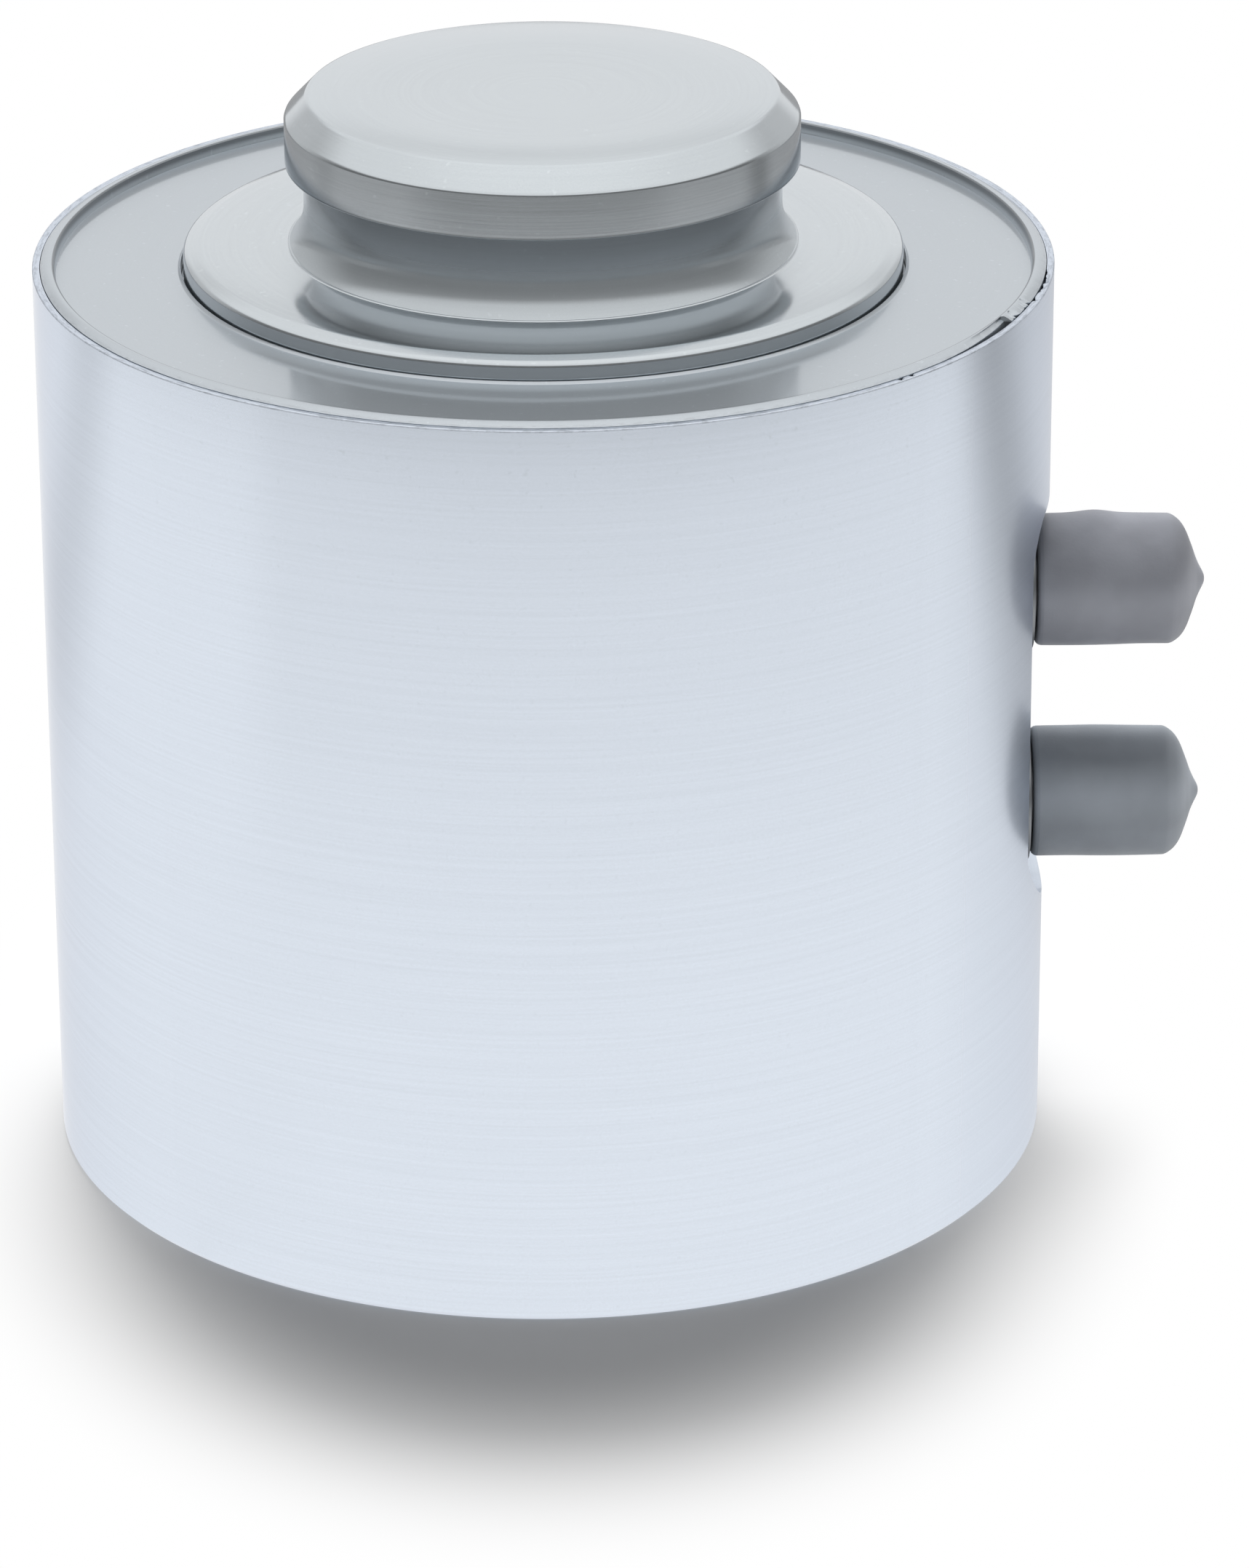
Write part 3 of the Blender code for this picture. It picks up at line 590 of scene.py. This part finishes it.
coverForm = {
    "outer": 0.06398, "lipHeight": 0.0014, "lipThickness": 0.0013,
    # the turned-up edge: distance in from the outer radius and height over the face, in mm
    "lip": ((1.95, 0.0), (1.85, 0.35), (1.78, 0.9), (1.7, 1.25), (1.58, 1.37), (1.4, 1.4),
            (1.1, 1.38), (0.8, 1.3), (0.5, 1.17), (0.25, 1.03), (0.08, 0.95), (0.0, 0.9)),
    # the low edge round the disc, its slope in shares of its width and height
    "innerLip": 0.0004, "innerLipWidth": 0.0003, "innerRound": 0.00012, "innerFoot": 0.00013,
    "innerSlope": ((0.6, 0.7), (1.3, 0.15), (2.2, 0.0)),
    # rows of points on the face, by their distance from its two edges
    "rowsFrom": 0.003, "rowsTo": 0.0024, "rows": 6,
    # the uneven crest: height, fineness and seed of two waves, how far it sinks where the
    # crevice gapes, and how far under the face the lip begins
    "waves": ((0.00003, 37.0, 8), (0.00002, 150.0, 9)), "sink": 0.25, "lipUnder": 0.0002,
}


def makeCover():
    f = coverForm
    face, back = body["coverFace"], body["coverFace"] - body["coverThickness"]
    outer, inner = f["outer"], body["coverInner"]
    half = f["lipThickness"] / 2
    root = outer - f["lipThickness"]
    high, wide, small = f["innerLip"], f["innerLipWidth"], f["innerRound"]
    lip = np.array(f["lip"]) * 0.001
    profile = runOf(
        [(outer, back), (inner, back), (inner, face + high - f["innerFoot"])],
        arcPoints((inner + small, face + high - small), small, 180, 90, 3),
        [(inner + wide * a, face + high * b) for a, b in f["innerSlope"]],
        [(row, face) for row in np.linspace(inner + f["rowsFrom"], outer - f["rowsTo"], f["rows"])],
        np.column_stack([outer - lip[:, 0], face + lip[:, 1]]),
    )

    def torn(radius, height, turn):
        # the lip draws back from the rim along the crevice, and its crest is uneven there
        near = np.clip((radius - root) / half, 0, 1) * (height > face - f["lipUnder"])
        gape = creviceAt(np.degrees(turn))
        crest = np.clip((height - face) / f["lipHeight"], 0, 1)
        wave = sum(size * ragged(turn, fineness, seed) for size, fineness, seed in f["waves"])
        return radius - gape * near, height + (wave - gape * f["sink"]) * crest * near

    cover = turned("coverRing", profile, rimAngles(), torn)
    dress(cover, coverSteel, "cover_steel", "top_cover")


makeCover()
print("top cover made")


# spring element: button, neck, disc, column and foot

elementForm = {
    "buttonRadius": 0.0327, "buttonTop": 0.1408, "topRows": (0, 0.010, 0.020),
    # the bevel, and the points round its two corners in multiples of bevelSoft
    "bevel": 0.0028, "bevelSoft": 0.0003,
    "upperCorner": ((-1.0, 0.0), (0.0, -0.3), (0.7, -1.0)),
    "lowerCorner": ((-1.0, 0.4), (-0.3, -0.4), (0.0, -1.2)),
    "edge": 0.1322, "underRound": 0.0003, "underDrop": 0.00027,
    "hollow": 0.0008, "neckRadius": 0.0304,
    "flare": 0.002, "flareHeight": 0.0050, "flareShort": 2, "footRound": 0.0003,
    "faceFrom": 0.006, "bandWidth": 0.00115, "bandDrop": 0.0004,
    "bandSlope": 0.0002, "bandStep": 0.0001, "edgeRound": 0.0008,
    "shoulderRadius": 0.04905, "columnTop": 0.1033, "columnRadius": 0.0265, "columnFillet": 0.004,
    "footHeight": 0.015, "footRadius": 0.0469, "footChamfer": 0.0005,
    "flatDepth": 0.002, "flatMargin": 0.002, "flatPast": 0.004, "steps": 288,
}


def makeElement():
    f = elementForm
    top, edge, face = f["buttonTop"], f["edge"], body["discFace"]
    r, under, neck = f["buttonRadius"], f["underRound"], f["neckRadius"]
    bevel, soft, hollow = f["bevel"], f["bevelSoft"], f["hollow"]
    small, rim = f["footRound"], body["discRadius"]
    edgeRound, band = f["edgeRound"], rim - f["edgeRound"] - f["bandWidth"]
    column, fillet, shoulder = f["columnRadius"], f["columnFillet"], f["shoulderRadius"]
    foot, chamfer = f["footRadius"], f["footChamfer"]
    bow = (f["flare"] ** 2 + f["flareHeight"] ** 2) / (2 * f["flare"])
    spread = math.degrees(math.asin(f["flareHeight"] / bow)) - f["flareShort"]
    profile = runOf(
        [(row, top) for row in f["topRows"]],
        (r - bevel, top) + soft * np.array(f["upperCorner"]),
        (r, top - bevel) + soft * np.array(f["lowerCorner"]),
        arcPoints((r - under, edge), under, 0, -90, 6),
        arcPoints((neck + hollow, edge - f["underDrop"] - hollow), hollow, 90, 180, 6),
        arcPoints((neck + bow, face + f["flareHeight"]), bow, 180, 180 + spread, 12),
        arcPoints((neck + f["flare"] + small, face + small), small, 200, 270, 3),
        [(neck + f["faceFrom"], face), (band - f["bandSlope"], face)],
        [(band + f["bandSlope"], face - f["bandStep"])],
        arcPoints((rim - edgeRound, face - f["bandDrop"] - edgeRound), edgeRound, 80, 0, 6),
        [(rim, coverShelf), (shoulder, coverShelf), (shoulder, f["columnTop"])],
        arcPoints((column + fillet, f["columnTop"] - fillet), fillet, 90, 180, 4),
        arcPoints((column + fillet, f["footHeight"] + fillet), fillet, 180, 270, 4),
        [(foot, f["footHeight"]), (foot, chamfer), (foot - chamfer, 0), (0, 0)],
    )
    element = turned("springTurning", profile, evenAngles(f["steps"]), closed=False)
    low = f["footHeight"] + fillet + f["flatMargin"]
    high = f["columnTop"] - fillet - f["flatMargin"]
    square = np.array([(-column, low), (column, low), (column, high), (-column, high)])
    tools = []
    for n in range(4):
        tool = prism("flatTool", square, column - f["flatDepth"], column + f["flatPast"])
        tool.data.transform(Matrix.Rotation(math.pi / 2 * n, 4, "Z"))
        tools.append(tool)
    cutAway(element, tools)
    roundNormals(element, (r,))
    dress(element, elementSteel, "element_steel", "spring_element")


makeElement()
print("spring element made")


# connectors and caps

connectorForm = {
    "flangeRadius": 0.009, "flangeFace": 0.0012, "flangeChamfer": 0.0002, "gap": 0.0003,
    "barrelRadius": 0.006, "barrelBore": 0.005, "barrelFront": 0.0107, "frontChamfer": 0.0004,
    "steps": 96,
}
capForm = {
    "inner": 0.0063, "wall": 0.0022, "lipRound": 0.0008, "base": 0.0015, "side": 0.01735,
    "endWall": 0.003, "bulge": 0.0001, "steps": 160, "endRows": 46, "sideRows": 30,
    # radius against distance past the shoulder, in mm, from the shoulder to the tip
    "end": ((8.5, 0.0), (8.37, 0.4), (8.1, 0.85), (7.7, 1.35), (7.1, 1.85), (6.2, 2.35),
            (5.2, 2.75), (4.0, 3.2), (2.7, 3.65), (1.7, 4.1), (1.0, 4.47), (0.5, 4.68),
            (0.0, 4.75)),
    # dents move what lies outside dentFrom, in full from dentOver further out
    "dentFrom": 0.0071, "dentOver": 0.0008,
    # the slightly oval open end: by how much, turned how far, over what length
    "oval": 0.00006, "ovalTurn": 0.6, "ovalLength": 0.006,
}
# dents and bulges: how far out, along the cap, its length, and the angle and its width,
# where 180 degrees is the cap's top and 270 its front
capDents = {
    "a": ((0.00048, 0.0093, 0.0026, 180, 40), (0.00012, 0.0050, 0.003, 250, 30),
          (-0.00016, 0.0062, 0.004, 212, 16), (-0.00012, 0.0150, 0.004, 335, 25)),
    "b": ((-0.00046, 0.0115, 0.0056, 208, 13), (0.00014, 0.0062, 0.004, 232, 24),
          (0.00008, 0.0100, 0.003, 180, 40), (-0.00012, 0.0060, 0.004, 325, 25)),
}


def smoothed(at, places, values):
    # cubic curve through the values, with the slope at each place from its two neighbours
    slope = np.gradient(values, places)
    n = np.clip(np.searchsorted(places, at, "right") - 1, 0, len(places) - 2)
    width = places[n + 1] - places[n]
    u = (at - places[n]) / width
    return (values[n] * (1 + 2 * u) * (1 - u) ** 2 + slope[n] * width * u * (1 - u) ** 2
            + values[n + 1] * u * u * (3 - 2 * u) + slope[n + 1] * width * u * u * (u - 1))


def layAlongX(piece, height):
    # the turned piece's Z axis is laid along +X, out of the pocket's floor
    turn = Matrix.Rotation(math.pi / 2, 4, "Y")
    piece.data.transform(Matrix.Translation((body["pocketFloor"], 0, height)) @ turn)


def makeConnector(letter, height):
    f = connectorForm
    r, b, bore = f["flangeRadius"], f["barrelRadius"], f["barrelBore"]
    face, front, chamfer = f["flangeFace"], f["barrelFront"], f["flangeChamfer"]
    # the barrel ends where its solid does, inside the shell
    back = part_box("connector_shell_" + letter)[0].x - body["pocketFloor"]
    profile = runOf(
        [(b - f["frontChamfer"], front), (b, front - f["frontChamfer"]), (b, face)],
        arcPoints((r - chamfer, face - chamfer), chamfer, 90, 0, 4),
        [(r, f["gap"]), (b, f["gap"]), (b, back), (bore, back), (bore, front)],
    )
    piece = turned("connectorBarrel" + letter.upper(), profile, evenAngles(f["steps"]))
    layAlongX(piece, height)
    dress(piece, connectorSteel, "connector_steel", "connector_shell_" + letter)


def makeCap(letter, height, material):
    f = capForm
    inner, base, lip = f["inner"], f["base"], f["lipRound"]
    outer = inner + f["wall"]
    shoulder = base + f["side"]
    knots = np.array(f["end"][::-1]) * 0.001
    # the end's points are joined smoothly, by the length along them
    length = np.append(0, np.cumsum(np.linalg.norm(np.diff(knots, axis=0), axis=1)))
    fine = np.linspace(0, length[-1], f["endRows"])
    endRadius = smoothed(fine, length, knots[:, 0])
    endHeight = shoulder + smoothed(fine, length, knots[:, 1])
    along = np.linspace(shoulder, base + lip, f["sideRows"])[1:]
    belly = f["bulge"] * (1 - ((along - base) / f["side"] * 2 - 1) ** 2)
    profile = runOf(
        np.stack([endRadius, endHeight], 1),
        np.stack([outer + belly, along], 1),
        arcPoints((outer - lip, base + lip), lip, 0, -90, 5),
        [(inner, base), (inner, shoulder), (0, shoulder + knots[0, 1] - f["endWall"])],
    )

    def dented(radius, height, turn):
        # soft humps and hollows on the outer side, and a slight oval at the open end
        side = np.clip((radius - f["dentFrom"]) / f["dentOver"], 0, 1)
        move = f["oval"] * np.cos(2 * turn + f["ovalTurn"]) * hump(height, base, f["ovalLength"])
        for out, along, length, angle, width in capDents[letter]:
            away = np.degrees(turn) - angle
            move = move + out * hump(height, along, length) * hump(away, 0, width)
        return radius + move * side, height

    name = "vinylCap" + letter.upper()
    piece = turned(name, profile, evenAngles(f["steps"]), dented, closed=False, sharpAngle=50)
    layAlongX(piece, height)
    dress(piece, material, "cap_vinyl", "transit_cap_" + letter)


def vinyl(name, look, axis):
    # matt soft plastic: a slow cloudiness and a fine leathery grain, with painted light along a
    # band near the cap's axis and painted shade on top and below
    paint = Paint(name)
    place = paint.place()
    cloud = paint.noise(place, look["cloud"], 2.0, 0.5).step(*look["cloudStep"])
    grain = paint.noise(place, look["grain"], 4.0, 0.6)
    up = paint.split(place)[2] - axis
    paintedLight = up.bell(look["paintedLightAt"], look["paintedLightWide"]) * look["paintedLight"]
    tone = 1 + cloud.swing(look["cloudShade"]) + paintedLight
    tone = tone - up.step(*look["topOver"]) * look["topShade"]
    tone = tone - (0.0 - up).step(*look["lowOver"]) * look["lowShade"]
    # the blend takes the tones from 0 to 2
    colour = paint.blend(tone * 0.5, tint(look["colour"], 0.0), tint(look["colour"], 2.0))
    rough = look["rough"] + grain.swing(look["grainRough"])
    normal = paint.bump(grain, look["bump"], look["bumpStrength"])
    return paint.finish(colour=colour, rough=rough, normal=normal, specular=look["specular"])


capLook = {
    "colour": (0.285, 0.295, 0.328), "rough": 0.52, "specular": 0.35,
    "cloud": 160.0, "cloudStep": (0.3, 0.7), "cloudShade": 0.12,
    "grain": 2400.0, "grainRough": 0.12, "bump": 0.00004, "bumpStrength": 0.5,
    # painted light along a band near the axis, and painted shade on top and below: where, how wide
    # and how much
    "paintedLightAt": 0.0006, "paintedLightWide": 0.0048, "paintedLight": 0.28,
    "topOver": (0.003, 0.0075), "topShade": 0.26, "lowOver": (0.002, 0.007), "lowShade": 0.12,
}
lowCapLook = dict(capLook, colour=(0.28, 0.305, 0.338), paintedLightAt=0.0026, paintedLight=0.42,
                  topShade=0.0, lowShade=0.14)
for letter, height, look in (
    ("a", body["upperConnector"], capLook),
    ("b", body["lowerConnector"], lowCapLook),
):
    makeConnector(letter, height)
    makeCap(letter, height, vinyl("capVinyl" + letter.upper(), look, height))
print("connectors and caps made")


# the nodes inside and underneath keep their solids

def plainFinish(name, look):
    # a fine noise roughens the surface and a slow one changes its colour; in a metal the
    # fine one is stretched, as marks, and in a plastic the slow one
    paint = Paint(name)
    place = paint.place()
    kind = plainKinds[look["kind"]]
    run = paint.stretched(place, look["stretch"])
    if kind["metal"]:
        fine = paint.noise(run, 1.0, 3.0, 0.6)
        cloud = paint.noise(place, kind["noise"], 2.0, 0.5)
    else:
        cloud = paint.noise(run, 1.0, 2.0, 0.5)
        fine = paint.noise(place, kind["noise"], 3.0, 0.6)
    dark, light = tint(look["colour"], kind["dark"]), tint(look["colour"], kind["light"])
    return paint.finish(colour=paint.blend(cloud, dark, light), metal=kind["metal"],
                        rough=look["rough"] + fine.swing(kind["fineRough"]),
                        normal=paint.bump(fine, kind["bump"], kind["bumpStrength"]))


plainKinds = {
    "metal": {"metal": 1.0, "noise": 90.0, "dark": 0.9, "light": 1.08, "fineRough": 0.16,
              "bump": 0.00002, "bumpStrength": 0.5},
    "plastic": {"metal": 0.0, "noise": 3000.0, "dark": 0.85, "light": 1.15, "fineRough": 0.14,
                "bump": 0.00002, "bumpStrength": 0.4},
}
plainLooks = {
    "ringSteel": {
        "on": ("base_ring",), "kind": "metal",
        "colour": (0.55, 0.57, 0.60), "rough": 0.32, "stretch": (900, 900, 60)},
    "fixingSteel": {
        "on": ("purge_plug", "lock_nut", "board_screw"), "kind": "metal",
        "colour": (0.52, 0.53, 0.55), "rough": 0.3, "stretch": (400, 400, 1600)},
    "pillarBrass": {
        "on": ("board_pillar",), "kind": "metal",
        "colour": (0.72, 0.56, 0.28), "rough": 0.3, "stretch": (500, 500, 2400)},
    "contactGold": {
        "on": ("contact_pin",), "kind": "metal",
        "colour": (0.8, 0.6, 0.25), "rough": 0.24, "stretch": (300, 3000, 3000)},
    "terminalCopper": {
        "on": ("solder_terminal",), "kind": "metal",
        "colour": (0.7, 0.4, 0.22), "rough": 0.35, "stretch": (800, 800, 800)},
    "insertPlastic": {
        "on": ("connector_insert",), "kind": "plastic",
        "colour": (0.05, 0.07, 0.12), "rough": 0.42, "stretch": (200, 200, 200)},
    "sealRubber": {
        "on": ("seal_ring",), "kind": "plastic",
        "colour": (0.02, 0.02, 0.021), "rough": 0.68, "stretch": (300, 300, 300)},
    "gaugeFilm": {
        "on": ("strain_gauge",), "kind": "plastic",
        "colour": (0.55, 0.3, 0.06), "rough": 0.36, "stretch": (300, 300, 2200)},
    "boardLaminate": {
        "on": ("compensation_board",), "kind": "plastic",
        "colour": (0.03, 0.16, 0.07), "rough": 0.42, "stretch": (1500, 1500, 200)},
    "resistorBody": {
        "on": ("trim_resistor",), "kind": "plastic",
        "colour": (0.08, 0.2, 0.4), "rough": 0.34, "stretch": (300, 300, 300)},
    "leadSleeveRed": {
        "on": ("gauge_lead",), "kind": "plastic",
        "colour": (0.45, 0.05, 0.04), "rough": 0.46, "stretch": (300, 300, 300)},
    "leadSleeveGrey": {
        "on": ("lead_bundle",), "kind": "plastic",
        "colour": (0.3, 0.3, 0.32), "rough": 0.5, "stretch": (300, 300, 300)},
}


def paintNodes(material, starts):
    for name, node in nodes.items():
        if name.startswith(starts):
            for slot in node.material_slots:
                slot.material = material


for name, look in plainLooks.items():
    paintNodes(plainFinish(name, look), look["on"])
print("inner nodes painted")


# floor, light and camera

studio = {
    "floorSize": 4.0, "floorDrop": 0.0002, "floorColour": (0.92, 0.92, 0.92),
    # the floor is a little darker close to the part, as its shadow is in the photo
    "nearOver": (0.080, 0.140), "nearShade": 0.28,
    # the shadow is kept in front and fades to white sooner at the sides
    "whiteOver": (0.075, 0.135), "sideShare": 2.5,
    # what polished metal sees of the floor: a white table, a little greyer in front and on
    # the right, that ends in a dim room
    "front": (0.469, 0.883), "frontOver": (-0.03, 0.05), "farOver": (0.12, 0.30),
    "farShade": 0.06, "tableEnd": (0.402, 0.42), "dimShade": 0.62,
    "dimmerOver": (0.20, 0.36), "dimmerShade": 0.14,
    # and a dark stripe at the back right and a fainter one at the back left: middle and
    # half width along Y, where they begin along X, and how dark they are
    "stripe": (0.135, 0.100), "stripeOver": (0.04, 0.16), "stripeShade": 0.44,
    "faint": (0.150, 0.09), "faintOver": (0.08, 0.18), "faintShade": 0.16,
    # a dim room all round, below the white ceiling and away from the white backdrop
    "skyLevel": 0.34, "roomDark": 0.82, "roomTop": (0.36, 0.58),
    "backdropOver": (0.1, 0.75), "backdropShare": 0.6,
    "backdropEnd": (0.84, 0.94), "backdropEndShare": 0.4,
    "ceilingOver": (0.75, 0.95), "ceilingMore": 0.1,
    "lampPlace": (0.0, 0.46, 1.15), "lampAim": (0, 0, 0.05), "lampSize": 0.55, "lampPower": 20.0,
}


def floorPaint():
    s = studio
    paint = Paint("floorPaint")
    x, y, z = paint.split(paint.place())
    away = (x * x + y * y) ** 0.5
    front = (x * s["front"][0] - y * s["front"][1]).step(*s["frontOver"])
    far = away.step(*s["farOver"]) * front
    dimmer = s["dimShade"] + (0.0 - y).step(*s["dimmerOver"]) * s["dimmerShade"]
    dim = away.step(*s["tableEnd"]) * dimmer
    stripe = y.bell(*s["stripe"]) * x.step(*s["stripeOver"])
    faint = y.bell(*s["faint"]) * (0.0 - x).step(*s["faintOver"])
    sheen = (1 - far * s["farShade"]) * (1 - dim)
    sheen = sheen * (1 - stripe * s["stripeShade"]) * (1 - faint * s["faintShade"])
    white = paint.glow("ShaderNodeEmission", 1.0)
    seen = paint.glow("ShaderNodeEmission", sheen)
    near = (1 - away.step(*s["nearOver"])) * s["nearShade"]
    shaded = paint.blend(near, tint(s["floorColour"]), tint(s["floorColour"], 0.0))
    matt = paint.add("ShaderNodeBsdfDiffuse", None, {"Color": shaded})
    spread = (x * x * s["sideShare"] + y * y) ** 0.5
    outer = spread.step(*s["whiteOver"]) * (paint.ray("Camera") + paint.ray("Transmission"))
    base = paint.mixed(outer, matt, white)
    paint.end("ShaderNodeOutputMaterial", paint.mixed(paint.ray("Glossy"), base, seen))
    return paint.owner


def makeFloor():
    size, drop = studio["floorSize"], studio["floorDrop"]
    corners = [(x * size, y * size, -drop) for x, y in ((-1, -1), (1, -1), (1, 1), (-1, 1))]
    mesh = bpy.data.meshes.new("floorSheet")
    mesh.from_pydata(corners, [], [(0, 1, 2, 3)])
    mesh.materials.append(floorPaint())
    hold("floorSheet", mesh)


def makeSky():
    s = studio
    world = bpy.data.worlds.new("studioSky")
    scene.world = world
    paint = Paint("studioSky", world)
    shown = paint.ray("Camera") + paint.ray("Transmission")
    x, y, z = paint.split(paint.add("ShaderNodeTexCoord", out="Generated"))
    backdrop = y.step(*s["backdropOver"]) * s["backdropShare"]
    backdrop = backdrop + y.step(*s["backdropEnd"]) * s["backdropEndShare"]
    room = (1 - backdrop) * (1 - z.step(*s["roomTop"]))
    ceiling = z.step(*s["ceilingOver"]) * s["ceilingMore"]
    mirrored = 1.0 + ceiling - s["skyLevel"] - room * s["roomDark"]
    level = s["skyLevel"] + shown * (1.0 - s["skyLevel"]) + paint.ray("Glossy") * mirrored
    paint.end("ShaderNodeOutputWorld", paint.glow("ShaderNodeBackground", level))


def makeLamp():
    s = studio
    lamp = bpy.data.lights.new("softLamp", "AREA")
    lamp.shape = "DISK"
    lamp.size = s["lampSize"]
    lamp.energy = s["lampPower"]
    holder = hold("softLamp", lamp)
    place, aim = Vector(s["lampPlace"]), Vector(s["lampAim"])
    holder.location = place
    holder.rotation_euler = (aim - place).to_track_quat("-Z", "Y").to_euler()
    holder.visible_glossy = False


view = {
    "place": (0.0, -0.88228, 0.42223), "down": 0.4035, "right": 0.0114, "roll": 0.0038,
    "lens": 167.64, "sensor": 36.0, "clip": (0.05, 20.0),
}


def makeCamera():
    # the axes of a camera that looks down and a little to the right, with a slight roll
    v = view
    p, q, w = v["down"], v["right"], v["roll"]
    ahead = np.array((math.sin(q) * math.cos(p), math.cos(q) * math.cos(p), -math.sin(p)))
    right = np.array((math.cos(q), -math.sin(q), 0))
    low = np.cross(ahead, right)
    side = math.cos(w) * right + math.sin(w) * low
    under = -math.sin(w) * right + math.cos(w) * low
    camera = bpy.data.cameras.new("photoCamera")
    camera.lens, camera.sensor_width = v["lens"], v["sensor"]
    camera.clip_start, camera.clip_end = v["clip"]
    holder = hold("photoCamera", camera)
    matrix = np.eye(4)
    matrix[:3, 0], matrix[:3, 1], matrix[:3, 2] = side, -under, -ahead
    matrix[:3, 3] = v["place"]
    holder.matrix_world = Matrix(matrix.tolist())
    scene.camera = holder


makeFloor()
makeSky()
makeLamp()
makeCamera()
scene.view_settings.view_transform = "Standard"
print("floor, light and camera made")
